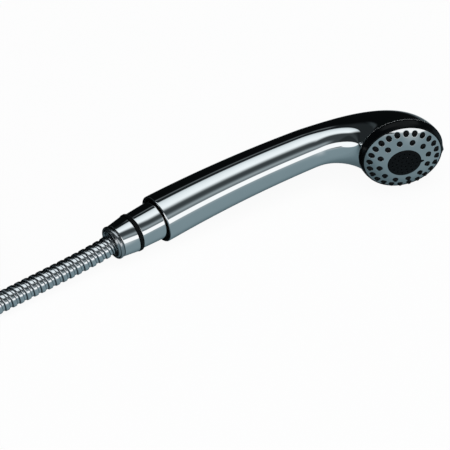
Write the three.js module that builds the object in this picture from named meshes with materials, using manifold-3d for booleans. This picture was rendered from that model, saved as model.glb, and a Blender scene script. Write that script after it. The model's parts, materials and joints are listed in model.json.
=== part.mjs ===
// A handheld shower head lying on its side, with its metal hose.
// Units are millimetres and +Z is up. The handle runs along +X from the hose to the head, and the
// spray face looks towards -Y. The origin is on the ground, under the middle of the handset.
import * as THREE from "three";
import { mergeVertices } from "three/addons/utils/BufferGeometryUtils.js";
import Module from "manifold-3d";

const wasm = await Module();
wasm.setup();

// ---------------------------------------------------------------- driving dimensions

const GAP = 0.3; // between pieces that touch
const FACETS = { wide: 36, seen: 24, hidden: 16 }; // round a turned piece
const WALL = 1.8; // of the handle and bell

// Handle, by distance along its axis from the end where the cone meets it
const HANDLE_BEND_RADIUS = 783; // the handle bows gently towards the spray side
const NECK = 115; // where the bow ends and the bell begins
const TAIL_RADIUS = 16.5;
const MIDDLE_RADIUS = 15.1;
const NECK_RADIUS = 13.75;
const SHOULDER = { end: -2.95, length: 1.75, drop: 1.3 }; // the rounded edge at the handle's end
const TAIL_MOUTH_RADIUS = 14.95;

// Head: the circle on which the domed faceplate meets its bezel, and its tilt back to the hose
const FACE_ALONG = 159;
const FACE_OUT = 53.1;
const FACE_RADIUS = 26.1;
const FACE_TILT = THREE.MathUtils.degToRad(22.3); // of the spray axis, from square to the handle
const LIP_DEPTH = 6.4; // from the face circle back to the bell's chrome lip
const LIP_RADIUS = 28.2;
const BEZEL_RADIUS = 28.6;

// Bell: how far its outer (back) and inner (spray side) outlines reach before they turn
const BACK_PULL_NECK = 11.8;
const BACK_PULL_LIP = 48.3;
const BACK_FLARE = 0.3; // radians that the back leans out at the lip
const FRONT_PULL_NECK = 10.9;
const FRONT_PULL_LIP = 3;
const FRONT_FLARE = 1.2;
const BELL_WAIST = -0.21; // how the bell's width grows: near the neck
const BELL_FULLNESS = 0.33; // and near the lip

// Domed faceplate
const DOME_RISE = 6.7; // of its top over the face circle
const DOME_CROWN = 4.2; // the part of the rise that is an even curve; the rest is near the rim
const PLATE_THICKNESS = 1.6;
const MAT_THICKNESS = 1.2;
const FACE_TURN = THREE.MathUtils.degToRad(-7.5); // of the pointer and lug from the far end
const NOZZLE_RINGS = [
  { count: 24, ring: 22.9, phase: 0 },
  { count: 12, ring: 16.9, phase: Math.PI / 12 },
];
const NOZZLE = { hole: 1.98, base: 1.68, tip: 1.15, proud: 1, bore: 0.6 };
const CENTRE_RADIUS = 11.1;
const CENTRE_HOLES = { radius: 0.45, rings: [[5, 2.6], [10, 5.6], [15, 8.5]] }; // count, ring

// Fixed and turning plates behind the faceplate, by height along the spray axis
const CORE_BACK = -11.5;
const CORE_FRONT = -8.9;
const CHAMBER_BACK = -5.9;
const CHAMBER_FLOOR = -4.4;
const BUSHING_TOP = -1.5;
const CARRIER_BACK = BUSHING_TOP + GAP;
const CARRIER_FRONT = 1.2;
const POST_RADIUS = 5;
const CHAMBER_RADIUS = 24.6;
const CLICK_ANGLE = THREE.MathUtils.degToRad(40); // between spray positions
const DETENT_RING = 8.2; // distance of the click pin from the spray axis
const INLET_RING = 9; // distance of the water inlet from the spray axis
const INLET_BACK = -18; // where the water tube enters its socket

// Water way
const TUBE_RADIUS = 6.5;
const TUBE_BORE = 4.7;

// Cone between hose and handle
const CAP_START = -35.7;
const CAP_END = -24.6;
const NUT_START = -21.3;
const NUT_END = -3.4;
const THREAD_MAJOR_RADIUS = 10.2; // male G 1/2
const THREAD_BORE_RADIUS = 10.6; // female G 1/2

// How the object lies: its bezel and the handle's end touch the ground
const BEZEL_ALONG = FACE_ALONG + 5 * Math.sin(FACE_TILT);
const LIE = Math.atan((BEZEL_RADIUS - TAIL_RADIUS) / BEZEL_ALONG);
const TAIL_PLACE = new THREE.Vector3(-73.54, 24.245, 0.12 + TAIL_RADIUS * Math.cos(LIE));

// Hose: it comes down from the cone to the ground, runs straight and is wound up in a stack of turns
const HOSE_RADIUS = 7;
const HOSE_ROUTE = [
  [-112.2, 13.3],
  [-119, 12.1],
  [-129, 11],
  [-141, 10.2],
  [-161, 9.5],
  [-183, 8.9],
  [-207, 8.1],
]; // along X and height, on the line of the handle's tail
const COIL_ALONG = -251.5;
const COIL_RADIUS = 70; // at the middle of the turns
const COIL_TURNS = 3;
const COIL_TOP = 2 * HOSE_RADIUS * COIL_TURNS;
const FAR_NUT_RADIUS = 13.9; // over its rounded corners
const FAR_NUT_FLATS = 25; // across

const FINISH = {
  chrome: { color: 0xc9d0d2, roughness: 0.08, metalness: 1 },
  darkPlate: { color: 0x6a6f73, roughness: 0.12, metalness: 1 },
  blackPlastic: { color: 0x0b0c0e, roughness: 0.35, metalness: 0 },
  rubber: { color: 0x101113, roughness: 0.7, metalness: 0 },
  whitePlastic: { color: 0xdedcd4, roughness: 0.5, metalness: 0 },
  brass: { color: 0xb5954f, roughness: 0.3, metalness: 1 },
  steel: { color: 0xa9adb0, roughness: 0.3, metalness: 1 },
};

// ---------------------------------------------------------------- shape helpers

/** A closed geometry as a solid, its faces turned outwards. */
function solidOf(geometry) {
  const bare = geometry.clone();
  bare.deleteAttribute("normal");
  bare.deleteAttribute("uv");
  const merged = mergeVertices(bare, 1e-4);
  const triVerts = Uint32Array.from(merged.index.array);
  const vertProperties = merged.attributes.position.array;
  const make = () => new wasm.Manifold(new wasm.Mesh({ numProp: 3, vertProperties, triVerts }));
  const solid = make();
  if (solid.volume() >= 0) return solid;
  for (let i = 0; i < triVerts.length; i += 3) {
    [triVerts[i + 1], triVerts[i + 2]] = [triVerts[i + 2], triVerts[i + 1]];
  }
  return make();
}

/** A solid back as a three.js geometry. */
function geometryOf(solid) {
  const mesh = solid.getMesh();
  const geometry = new THREE.BufferGeometry();
  geometry.setAttribute("position", new THREE.BufferAttribute(mesh.vertProperties, 3));
  geometry.setIndex(new THREE.BufferAttribute(mesh.triVerts, 1));
  geometry.computeVertexNormals();
  return geometry;
}

/** The solid body with every cutter taken away from it. */
function cut(body, cutters) {
  return cutters.reduce((rest, cutter) => rest.subtract(cutter), body);
}

/** The solid body with every addition joined to it. */
function join(body, additions) {
  return additions.reduce((sum, extra) => sum.add(extra), body);
}

/** A profile of [radius, height] points turned about +Z. */
function turned(profile, segments = FACETS.hidden) {
  const points = profile.map(([radius, height]) => new THREE.Vector2(radius, height));
  return solidOf(new THREE.LatheGeometry(points, segments).rotateX(Math.PI / 2));
}

/** A ring whose section is the closed outline of [radius, height] points. */
function ring(outline, segments = FACETS.hidden) {
  return turned([...outline, outline[0]], segments);
}

/** A plain tube or washer between two radii and two heights. */
function sleeve(inner, outer, low, high, segments = FACETS.hidden) {
  const outline = [
    [inner, low],
    [outer, low],
    [outer, high],
    [inner, high],
  ];
  return ring(outline, segments);
}

/** A round bar along +Z at a place in the plane, tapering from base to tip. */
function bar(base, tip, low, high, x = 0, y = 0, segments = 6) {
  const geometry = new THREE.CylinderGeometry(tip, base, high - low, segments);
  return solidOf(geometry.rotateX(Math.PI / 2).translate(x, y, (low + high) / 2));
}

/** A block between two corners. */
function block(low, high) {
  const size = high.map((value, axis) => value - low[axis]);
  const middle = high.map((value, axis) => (value + low[axis]) / 2);
  return solidOf(new THREE.BoxGeometry(...size).translate(...middle));
}

/** A flat outline of [x, y] points, raised from low to high. */
function prism(outline, low, high) {
  const shape = new THREE.Shape(outline.map(([x, y]) => new THREE.Vector2(x, y)));
  const geometry = new THREE.ExtrudeGeometry(shape, { depth: high - low, bevelEnabled: false });
  return solidOf(geometry.translate(0, 0, low));
}

/** A ring of round section about +Z. */
function oRing(radius, thickness, height, segments = FACETS.hidden) {
  return solidOf(new THREE.TorusGeometry(radius, thickness, 5, segments).translate(0, 0, height));
}

/** A solid or hollow round section carried along a path. */
function piped(path, outer, inner, sides, steps) {
  const shape = new THREE.Shape(circle(outer, sides));
  if (inner > 0) shape.holes.push(new THREE.Path(circle(inner, sides)));
  return solidOf(new THREE.ExtrudeGeometry(shape, { steps, extrudePath: path }));
}

function circle(radius, sides) {
  return Array.from({ length: sides }, (_, i) => {
    const angle = (2 * Math.PI * i) / sides;
    return new THREE.Vector2(radius * Math.cos(angle), radius * Math.sin(angle));
  });
}

/** Evenly spaced angles round a circle, with their cosine and sine. */
function around(count, start = 0) {
  return Array.from({ length: count }, (_, i) => {
    const angle = start + (2 * Math.PI * i) / count;
    return { angle, x: Math.cos(angle), y: Math.sin(angle) };
  });
}

/** A named mesh in one of the finishes. */
function piece(name, solid, finish) {
  const mesh = new THREE.Mesh(geometryOf(solid), new THREE.MeshStandardMaterial(FINISH[finish]));
  mesh.name = name;
  return mesh;
}

// ---------------------------------------------------------------- handle and bell

// The handset's own frame: x along the handle's tail, y away from the spray side, z up.
const SPRAY_AXIS = new THREE.Vector2(-Math.sin(FACE_TILT), -Math.cos(FACE_TILT));
const FACE_UP = new THREE.Vector2(Math.cos(FACE_TILT), -Math.sin(FACE_TILT)); // to the far end
const FACE_CENTRE = new THREE.Vector2(FACE_ALONG, -FACE_OUT);
const LIP_CENTRE = FACE_CENTRE.clone().addScaledVector(SPRAY_AXIS, -LIP_DEPTH);

/** The handle's radius at a distance from its tail end. */
function handleRadius(along) {
  if (along < 0) {
    const share = Math.max(0, 1 - (along - SHOULDER.end) / SHOULDER.length);
    return TAIL_RADIUS - SHOULDER.drop * (1 - Math.sqrt(1 - share * share));
  }
  const half = NECK / 2;
  if (along < half) return THREE.MathUtils.lerp(TAIL_RADIUS, MIDDLE_RADIUS, along / half);
  return THREE.MathUtils.lerp(MIDDLE_RADIUS, NECK_RADIUS, (along - half) / half);
}

/** The handle's centre and direction at a distance from its tail end. */
function handleSpine(along) {
  const angle = Math.max(0, along) / HANDLE_BEND_RADIUS;
  const centre = new THREE.Vector2(
    along < 0 ? along : HANDLE_BEND_RADIUS * Math.sin(angle),
    -HANDLE_BEND_RADIUS * (1 - Math.cos(angle)),
  );
  return { centre, direction: new THREE.Vector2(Math.cos(angle), -Math.sin(angle)) };
}

/** A round section of the handle: its back point, front point and half width. */
function handleSection(along) {
  const { centre, direction } = handleSpine(along);
  const backwards = new THREE.Vector2(-direction.y, direction.x);
  const radius = handleRadius(along);
  return {
    back: centre.clone().addScaledVector(backwards, radius),
    front: centre.clone().addScaledVector(backwards, -radius),
    halfWidth: radius,
  };
}

/** The outline that leaves start along one vector and arrives at end along another. */
function outline(start, leave, end, arrive) {
  const onward = start.clone().add(leave);
  return new THREE.CubicBezierCurve(start, onward, end.clone().sub(arrive), end);
}

const NECK_SECTION = handleSection(NECK);
const NECK_DIRECTION = handleSpine(NECK).direction;
const pull = (direction, turn, length) =>
  direction.clone().rotateAround(new THREE.Vector2(), turn).multiplyScalar(length);
const BACK_OUTLINE = outline(
  NECK_SECTION.back,
  pull(NECK_DIRECTION, 0, BACK_PULL_NECK),
  LIP_CENTRE.clone().addScaledVector(FACE_UP, LIP_RADIUS),
  pull(SPRAY_AXIS, BACK_FLARE, BACK_PULL_LIP),
);
const FRONT_OUTLINE = outline(
  NECK_SECTION.front,
  pull(NECK_DIRECTION, 0, FRONT_PULL_NECK),
  LIP_CENTRE.clone().addScaledVector(FACE_UP, -LIP_RADIUS),
  pull(SPRAY_AXIS, FRONT_FLARE, FRONT_PULL_LIP),
);

/** The bell's section at a share of the way from the neck to the lip. */
function bellSection(share) {
  const rest = 1 - share;
  const widening =
    3 * rest ** 2 * share * BELL_WAIST + 3 * rest * share ** 2 * BELL_FULLNESS + share ** 3;
  return {
    back: BACK_OUTLINE.getPoint(share),
    front: FRONT_OUTLINE.getPoint(share),
    halfWidth: THREE.MathUtils.lerp(NECK_RADIUS, LIP_RADIUS, widening),
  };
}

/** A section drawn in by the wall's thickness. */
function drawnIn({ back, front, halfWidth }) {
  const inwards = front.clone().sub(back).setLength(WALL);
  return {
    back: back.clone().add(inwards),
    front: front.clone().sub(inwards),
    halfWidth: halfWidth - WALL,
  };
}

/** A section moved along a direction. */
function moved({ back, front, halfWidth }, direction, distance) {
  return {
    back: back.clone().addScaledVector(direction, distance),
    front: front.clone().addScaledVector(direction, distance),
    halfWidth,
  };
}

/** A solid through a list of sections, each an ellipse across the symmetry plane. */
function lofted(sections, segments) {
  const geometry = new THREE.CylinderGeometry(1, 1, 1, segments, sections.length - 1);
  const position = geometry.attributes.position;
  for (let i = 0; i < position.count; i += 1) {
    const rank = Math.round((position.getY(i) + 0.5) * (sections.length - 1));
    const { back, front, halfWidth } = sections[rank];
    const middle = back.clone().add(front).multiplyScalar(0.5);
    const place = middle.clone().lerp(back, position.getX(i));
    position.setXYZ(i, place.x, place.y, halfWidth * position.getZ(i));
  }
  return solidOf(geometry);
}

function handleShell() {
  const segments = FACETS.seen;
  const overshoot = 2; // of the cutters, past both open ends
  const shoulder = [0, 0.1, 0.35, 0.7, 1].map((share) => SHOULDER.end + share * SHOULDER.length);
  const handle = [0, 30, 60, 90, NECK].map(handleSection);
  const bell = Array.from({ length: 12 }, (_, i) => bellSection((i + 1) / 12));
  const inside = [...handle, ...bell].map(drawnIn);
  const past = moved(inside[inside.length - 1], SPRAY_AXIS, overshoot);
  const mouth = new THREE.CylinderGeometry(
    TAIL_MOUTH_RADIUS,
    TAIL_MOUTH_RADIUS,
    2 * (overshoot - SHOULDER.end),
    segments,
  );
  const outside = lofted([...shoulder.map(handleSection), ...handle, ...bell], segments);
  return cut(outside, [lofted([...inside, past], segments), solidOf(mouth.rotateZ(Math.PI / 2))]);
}

// ---------------------------------------------------------------- water way in the handset

/** The plastic tube that bends from the handle into the head's inlet. */
function waterTube() {
  const inlet = FACE_CENTRE.clone()
    .addScaledVector(FACE_UP, -INLET_RING)
    .addScaledVector(SPRAY_AXIS, INLET_BACK + 3);
  const places = [
    ...[4.3, 30, 60, 90, NECK - 3].map((along) => handleSpine(along).centre),
    new THREE.Vector2(130, -13.5),
    new THREE.Vector2(146, -20),
    inlet.clone().addScaledVector(SPRAY_AXIS, -8),
    inlet,
  ];
  const path = new THREE.CatmullRomCurve3(places.map(({ x, y }) => new THREE.Vector3(x, y, 0)));
  return piped(path, TUBE_RADIUS, TUBE_BORE, 10, 14);
}

/** The threaded nipple in the handle's end, with the socket for the water tube. */
function inletNipple() {
  return ring([
    [7, -14.6],
    [THREAD_MAJOR_RADIUS, -14.6],
    [THREAD_MAJOR_RADIUS, GAP],
    [TAIL_RADIUS - WALL - 2 * GAP, GAP],
    [TAIL_RADIUS - WALL - 2 * GAP, 3],
    [9, 3],
    [9, 14],
    [TUBE_RADIUS + GAP, 14],
    [TUBE_RADIUS + GAP, 4],
    [4.5, 4],
    [4.5, -9.6],
    [7, -9.6],
  ]);
}

function flowLimiter() {
  const jets = around(4).map(({ x, y }) => bar(0.9, 0.9, -14, -9, 3.6 * x, 3.6 * y));
  return cut(bar(6.7, 6.7, -13.4, -9.9, 0, 0, FACETS.hidden), jets);
}

function inletFilter() {
  const meshes = around(6).map(({ x, y }) => bar(0.9, 0.9, -17, -15, 2.9 * x, 2.9 * y));
  return cut(bar(4.9, 4.9, -16.4, -15.4, 0, 0, FACETS.hidden), meshes);
}

// ---------------------------------------------------------------- cone between hose and handle

/** The hose side of the cone, with the shoulder that holds the hose and a seat for the end ring. */
function swivelCap() {
  return ring(
    [
      [9.4, CAP_START],
      [11.35, CAP_START],
      [12.95, CAP_END],
      [10.4, CAP_END],
      [10.4, -33.5],
      [8.2, -33.5],
      [8.2, -34.3],
      [9.4, -34.3],
    ],
    FACETS.seen,
  );
}

/** The dark beaded ring pressed into the cap's end, with a collar round the hose. */
function capEndRing() {
  const back = CAP_START - GAP;
  return ring(
    [
      [8.3, -39.2],
      [8.6, -39.8],
      [9.2, -40],
      [9.8, -39.8],
      [10.15, -39.2],
      [10.4, -38.8],
      [10.9, -39.1],
      [11.4, -38.9],
      [11.7, -38.4],
      [11.75, -37.7],
      [11.55, -36.9],
      [11.1, back],
      [9.1, back],
      [9.1, -34.6],
      [8.3, -34.6],
    ],
    FACETS.seen,
  );
}

/** The handset side of the cone: a union nut with a neck inside the cap. */
function coneNut() {
  return ring(
    [
      [6.6, -29.1],
      [9.8, -29.1],
      [9.8, NUT_START],
      [12.55, NUT_START],
      [13.4, NUT_END],
      [THREAD_BORE_RADIUS, NUT_END],
      [THREAD_BORE_RADIUS, -17],
      [9.3, -17],
      [9.3, -19.2],
      [5, -19.2],
      [5, -24],
      [6.6, -24],
    ],
    FACETS.seen,
  );
}

/** The sleeve crimped on the hose's end: its flange is held in the cap, its groove seals the stem. */
function hoseFerrule() {
  return ring(
    [
      [6.1, -38],
      [7.9, -38],
      [7.9, -33.2],
      [10.1, -33.2],
      [10.1, -30.9],
      [5, -30.9],
      [5, -31.4],
      [6.4, -31.4],
      [6.4, -33],
      [5, -33],
      [5, -33.5],
      [6.1, -33.5],
    ],
    FACETS.seen,
  );
}

/** The brass stem that the hose end turns on, with the flange that the nut pulls up. */
function swivelStem() {
  return ring(
    [
      [3.2, -35.4],
      [5.7, -35.4],
      [5.7, -33.9],
      [4.6, -33.9],
      [4.6, -18.9],
      [9, -18.9],
      [9, -17.2],
      [3.2, -17.2],
    ],
    FACETS.hidden,
  );
}

/** The black ring set in the handle's mouth, with a rounded edge, against which the cone closes. */
function tailBush() {
  const radius = TAIL_MOUTH_RADIUS - GAP;
  return ring(
    [
      [THREAD_BORE_RADIUS, -2.6],
      [13.4, -2.6],
      [14.2, -2.35],
      [radius, -1.7],
      [radius, 0],
      [THREAD_BORE_RADIUS, 0],
    ],
    FACETS.seen,
  );
}

// ---------------------------------------------------------------- spray head

// The head's own frame: x to the head's far end, y up, z along the spray.

/** The dome's height over the face circle at a distance from the spray axis. */
function dome(radius) {
  const share = (radius / FACE_RADIUS) ** 2;
  return DOME_RISE - DOME_CROWN * share - (DOME_RISE - DOME_CROWN) * share ** 2;
}

/** Points on a surface that lies a depth under the dome, between two radii. */
function underDome(from, to, depth, steps = 2) {
  return Array.from({ length: steps + 1 }, (_, i) => {
    const radius = THREE.MathUtils.lerp(from, to, i / steps);
    return [radius, dome(radius) - depth];
  });
}

/** The turning grip ring, with a pointed lug at the head's far end. */
function bezelRing() {
  const band = ring(
    [
      [24.9, -LIP_DEPTH + GAP],
      [28.3, -LIP_DEPTH + GAP],
      [BEZEL_RADIUS, -5],
      [27.9, -2.4],
      [27, -0.3],
      [26.4, 0.1],
      [26.4, -2.1],
      [24.9, -2.1],
    ],
    FACETS.wide,
  );
  const lug = prism([[26.6, -2.2], [BEZEL_RADIUS + 0.9, 0], [26.6, 2.2]], -4.9, -1.1);
  return join(band, [lug]);
}

/** The domed spray plate, with a hole for each nozzle. */
function faceplate() {
  const inner = CENTRE_RADIUS + 0.4;
  const skirt = FACE_RADIUS - 1.1;
  const plate = ring(
    [
      ...underDome(inner, FACE_RADIUS, 0),
      [FACE_RADIUS, -1.8],
      [skirt, -1.8],
      ...underDome(skirt, inner, PLATE_THICKNESS),
    ],
    FACETS.wide,
  );
  const holes = NOZZLE_RINGS.flatMap(({ count, ring: place, phase }) =>
    around(count, phase).map(({ x, y }) =>
      bar(NOZZLE.hole, NOZZLE.hole, -5, 9, place * x, place * y),
    ),
  );
  return cut(plate, holes);
}

/** The rubber mat behind the spray plate, with its hollow nozzles. */
function nozzleMat() {
  const top = PLATE_THICKNESS + GAP;
  const inner = CENTRE_RADIUS + 1.8;
  const outer = CHAMBER_RADIUS + 0.1;
  const mat = ring(
    [
      ...underDome(inner, outer, top + MAT_THICKNESS, 1),
      ...underDome(outer, inner, top, 1),
    ],
    FACETS.seen,
  );
  const nozzles = [];
  const bores = [];
  NOZZLE_RINGS.forEach(({ count, ring: place, phase }) => {
    const height = dome(place);
    around(count, phase).forEach(({ x, y }) => {
      const at = [place * x, place * y];
      const base = height - top - MAT_THICKNESS / 2;
      nozzles.push(bar(NOZZLE.base, NOZZLE.tip, base, height + NOZZLE.proud, ...at));
      bores.push(bar(NOZZLE.bore, NOZZLE.bore, height - 6, height + 3, ...at, 4));
    });
  });
  return cut(join(mat, nozzles), bores);
}

/** The fixed disc in the middle, with its fine holes and the pointer. */
function centrePlate() {
  const edge = CENTRE_RADIUS - 0.7;
  const proud = 0.35;
  const shell = turned([
    [0, DOME_RISE + proud],
    [edge / 2, dome(edge / 2) + proud],
    [edge, dome(edge) + proud],
    [CENTRE_RADIUS, dome(CENTRE_RADIUS)],
    [CENTRE_RADIUS, CARRIER_FRONT + GAP],
    [9.9, CARRIER_FRONT + GAP],
    [9.9, 4.3],
    [0, 5.4],
  ]);
  const pointer = prism([[10.4, -1.4], [13.6, 0], [10.4, 1.4]], 5.76, 6.3);
  const { radius, rings } = CENTRE_HOLES;
  const holes = rings.flatMap(([count, place]) =>
    around(count).map(({ x, y }) => bar(radius, radius, 3, 9, place * x, place * y, 4)),
  );
  return cut(join(shell, [pointer]), holes);
}

/** The fixed water plate in the bell: inlet socket, click pin boss and centre post. */
function headCore() {
  const plate = turned(
    [
      [0, CORE_BACK],
      [21.5, CORE_BACK],
      [CHAMBER_RADIUS - 0.6, CORE_FRONT],
      [POST_RADIUS, CORE_FRONT],
      [POST_RADIUS, BUSHING_TOP],
      [1.9, BUSHING_TOP],
      [1.9, CORE_FRONT - 0.6],
      [0, CORE_FRONT - 0.6],
    ],
    FACETS.seen,
  );
  const socket = bar(8.6, 8.6, INLET_BACK, CORE_BACK + 0.5, -INLET_RING, 0, 16);
  const boss = bar(3, 3, -17, CORE_BACK + 0.5, DETENT_RING, 0, 12);
  return cut(join(plate, [socket, boss]), [
    bar(TUBE_RADIUS + GAP, TUBE_RADIUS + GAP, INLET_BACK - 1, -14.6, -INLET_RING, 0, 16),
    bar(4.6, 4.6, -15, CORE_BACK + 1, -INLET_RING, 0, 16),
    waterSlot(2.5, CORE_BACK, CORE_FRONT + 1),
    bar(1.9, 1.9, -15.8, CORE_FRONT + 1, DETENT_RING, 0, 12),
  ]);
}

/** The slot that both spray circuits are fed through, as a cutter. */
function waterSlot(halfWidth, low, high) {
  return block([-17, -halfWidth, low], [-6.6, halfWidth, high]);
}

function portSeal() {
  const pad = sleeve(5.6, 18.6, CORE_FRONT + GAP, CHAMBER_BACK - GAP);
  const pinWay = bar(2.3, 2.3, -10, -5, DETENT_RING, 0, 12);
  return cut(pad, [waterSlot(2.8, -10, -5), pinWay]);
}

/** The turning chamber: its wall parts the nozzles' water from the middle's. */
function sprayChamber() {
  const wall = CENTRE_RADIUS + 0.5;
  const cup = ring(
    [
      [POST_RADIUS + GAP, CHAMBER_BACK],
      [CHAMBER_RADIUS, CHAMBER_BACK],
      [CHAMBER_RADIUS, -2.7],
      [CHAMBER_RADIUS - 1.2, -2.7],
      [CHAMBER_RADIUS - 1.2, CHAMBER_FLOOR],
      [wall + 1, CHAMBER_FLOOR],
      [wall + 1, 3.4],
      [wall, 3.4],
      [wall, CHAMBER_FLOOR],
      [POST_RADIUS + GAP, CHAMBER_FLOOR],
    ],
    FACETS.seen,
  );
  const port = (place, turn) => {
    const angle = Math.PI + turn * CLICK_ANGLE;
    const [x, y] = [place * Math.cos(angle), place * Math.sin(angle)];
    return bar(1.7, 1.7, CHAMBER_BACK - 1, CHAMBER_FLOOR + 1, x, y);
  };
  const dimple = (turn) => {
    const angle = turn * CLICK_ANGLE;
    const [x, y] = [DETENT_RING * Math.cos(angle), DETENT_RING * Math.sin(angle)];
    return bar(1.2, 0.7, CHAMBER_BACK - 0.1, CHAMBER_BACK + 0.5, x, y);
  };
  const toNozzles = 15.2;
  const toMiddle = 9.6;
  const ports = [port(toNozzles, 0), port(toNozzles, -1), port(toMiddle, 0), port(toMiddle, 1)];
  return cut(cup, [...ports, ...[-1, 0, 1].map(dimple)]);
}

/** The fixed spider on the post that carries the centre disc. */
function plateCarrier() {
  const disc = ring([
    [1.9, CARRIER_BACK],
    [9.6, CARRIER_BACK],
    [9.6, 0],
    [CENTRE_RADIUS - 0.1, 0],
    [CENTRE_RADIUS - 0.1, CARRIER_FRONT],
    [1.9, CARRIER_FRONT],
  ]);
  const windows = around(8).map(({ x, y }) => bar(1.4, 1.4, -2, 2, 6.6 * x, 6.6 * y));
  return cut(disc, windows);
}

function centreScrew() {
  const screw = turned(
    [
      [0, -8.9],
      [1.6, -8.9],
      [1.6, CARRIER_FRONT + GAP],
      [3.2, CARRIER_FRONT + GAP],
      [3.2, 3.4],
      [0, 3.4],
    ],
    16,
  );
  return cut(screw, [block([-2, -0.4, 2.4], [2, 0.4, 4]), block([-0.4, -2, 2.4], [0.4, 2, 4])]);
}

/** The sprung pin that clicks into a dimple of the turning chamber. */
function detentPin() {
  return turned([
    [0, -12.2],
    [1.6, -12.2],
    [1.6, -7],
    [0.8, CHAMBER_BACK - GAP],
    [0, CHAMBER_BACK - GAP],
  ]);
}

/** The click pin's coil spring. */
function detentSpring() {
  const turns = 3;
  const [low, high] = [-15.3, -13.2];
  const points = around(8 * turns).map((_, i) => {
    const angle = (2 * Math.PI * i) / 8;
    const height = THREE.MathUtils.lerp(low, high, i / (8 * turns - 1));
    return new THREE.Vector3(1.25 * Math.cos(angle), 1.25 * Math.sin(angle), height);
  });
  return piped(new THREE.CatmullRomCurve3(points), 0.25, 0, 4, 24);
}

// ---------------------------------------------------------------- hose and its far end

function hoseTube() {
  const route = HOSE_ROUTE.map(([x, z]) => new THREE.Vector3(x, TAIL_PLACE.y, z));
  return piped(new THREE.CatmullRomCurve3(route), HOSE_RADIUS, 0, 10, 8);
}

/** The outer shape of the wound hose, a stack of turns lying on the ground. */
function hoseCoil() {
  const inner = COIL_RADIUS - HOSE_RADIUS;
  const outer = COIL_RADIUS + HOSE_RADIUS;
  const round = 3;
  return ring(
    [
      [inner + round, 0],
      [outer - round, 0],
      [outer, round],
      [outer, COIL_TOP - round],
      [outer - round, COIL_TOP],
      [inner + round, COIL_TOP],
      [inner, COIL_TOP - round],
      [inner, round],
    ],
    FACETS.wide,
  );
}

// The far fittings' own frame: z along them, away from the hose.

function farFerrule() {
  return ring(
    [
      [6.1, 0],
      [7.9, 0],
      [7.9, 14],
      [5, 14],
      [5, 12],
      [6.1, 12],
    ],
    FACETS.seen,
  );
}

function farStem() {
  return ring(
    [
      [3.2, 3],
      [4.6, 3],
      [4.6, 17.5],
      [9, 17.5],
      [9, 19.2],
      [3.2, 19.2],
    ],
    FACETS.hidden,
  );
}

/** The union nut that screws on the wall outlet: a hexagon with rounded corners. */
function farNut() {
  const [back, front] = [14.3, 31];
  const corner = FAR_NUT_FLATS / Math.sqrt(3);
  const hexagon = new THREE.CylinderGeometry(corner, corner, front - back, 6).rotateY(Math.PI / 6);
  const middle = (front + back) / 2;
  const turnedRound = bar(FAR_NUT_RADIUS, FAR_NUT_RADIUS, back, front, 0, 0, FACETS.wide);
  const blank = solidOf(hexagon.rotateX(Math.PI / 2).translate(0, 0, middle));
  return cut(blank.intersect(turnedRound), [
    bar(4.95, 4.95, back - 1, 18, 0, 0, FACETS.hidden),
    bar(9.3, 9.3, 17.2, 20, 0, 0, FACETS.hidden),
    bar(THREAD_BORE_RADIUS, THREAD_BORE_RADIUS, 19.5, front + 1, 0, 0, FACETS.seen),
  ]);
}

// ---------------------------------------------------------------- assembly

const alongHandle = new THREE.Group(); // its z runs along the handle
alongHandle.rotation.y = Math.PI / 2;
alongHandle.add(
  piece("swivel_cap", swivelCap(), "chrome"),
  piece("cap_end_ring", capEndRing(), "darkPlate"),
  piece(
    "swivel_ring",
    sleeve(10.1, 13.4, CAP_END + GAP, NUT_START - GAP, FACETS.seen),
    "rubber",
  ),
  piece("cone_nut", coneNut(), "chrome"),
  piece("hose_ferrule", hoseFerrule(), "steel"),
  piece("swivel_stem", swivelStem(), "brass"),
  piece("slide_washer", sleeve(5, 9.8, -30.6, -29.4), "whitePlastic"),
  piece("stem_o_ring", oRing(5.5, 0.7, -32.2), "rubber"),
  piece("hose_washer", sleeve(5.2, 9, -16.9, -14.9), "rubber"),
  piece("inlet_filter", inletFilter(), "steel"),
  piece("tail_bush", tailBush(), "blackPlastic"),
  piece("inlet_nipple", inletNipple(), "brass"),
  piece("flow_limiter", flowLimiter(), "whitePlastic"),
);

const head = new THREE.Group();
const spray = new THREE.Vector3(SPRAY_AXIS.x, SPRAY_AXIS.y, 0);
const farEnd = new THREE.Vector3(FACE_UP.x, FACE_UP.y, 0);
head.setRotationFromMatrix(
  new THREE.Matrix4().makeBasis(farEnd, new THREE.Vector3(0, 0, 1), spray),
);
head.position.set(FACE_CENTRE.x, FACE_CENTRE.y, 0);
head.add(
  piece("spray_chamber", sprayChamber(), "blackPlastic"),
  piece("plate_carrier", plateCarrier(), "whitePlastic"),
  piece("centre_screw", centreScrew(), "steel"),
  piece(
    "hub_bushing",
    sleeve(POST_RADIUS + GAP, 8.6, CHAMBER_FLOOR + GAP, BUSHING_TOP),
    "whitePlastic",
  ),
  piece("port_seal", portSeal(), "rubber"),
  piece("core_o_ring", oRing(21.2, 1.1, (CORE_FRONT + CHAMBER_BACK) / 2, FACETS.seen), "rubber"),
  piece("head_core", headCore(), "whitePlastic"),
);
const face = new THREE.Group();
face.rotation.z = FACE_TURN;
face.add(
  piece("bezel_ring", bezelRing(), "blackPlastic"),
  piece("faceplate", faceplate(), "chrome"),
  piece("nozzle_mat", nozzleMat(), "rubber"),
  piece("centre_plate", centrePlate(), "blackPlastic"),
);
const detent = new THREE.Group();
detent.position.x = DETENT_RING;
detent.add(
  piece("detent_pin", detentPin(), "steel"),
  piece("detent_spring", detentSpring(), "steel"),
);
head.add(face, detent);

const handset = new THREE.Group();
handset.position.copy(TAIL_PLACE);
handset.rotation.y = -LIE;
handset.add(
  piece("handle_shell", handleShell(), "chrome"),
  piece("water_tube", waterTube(), "whitePlastic"),
  alongHandle,
  head,
);

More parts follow.
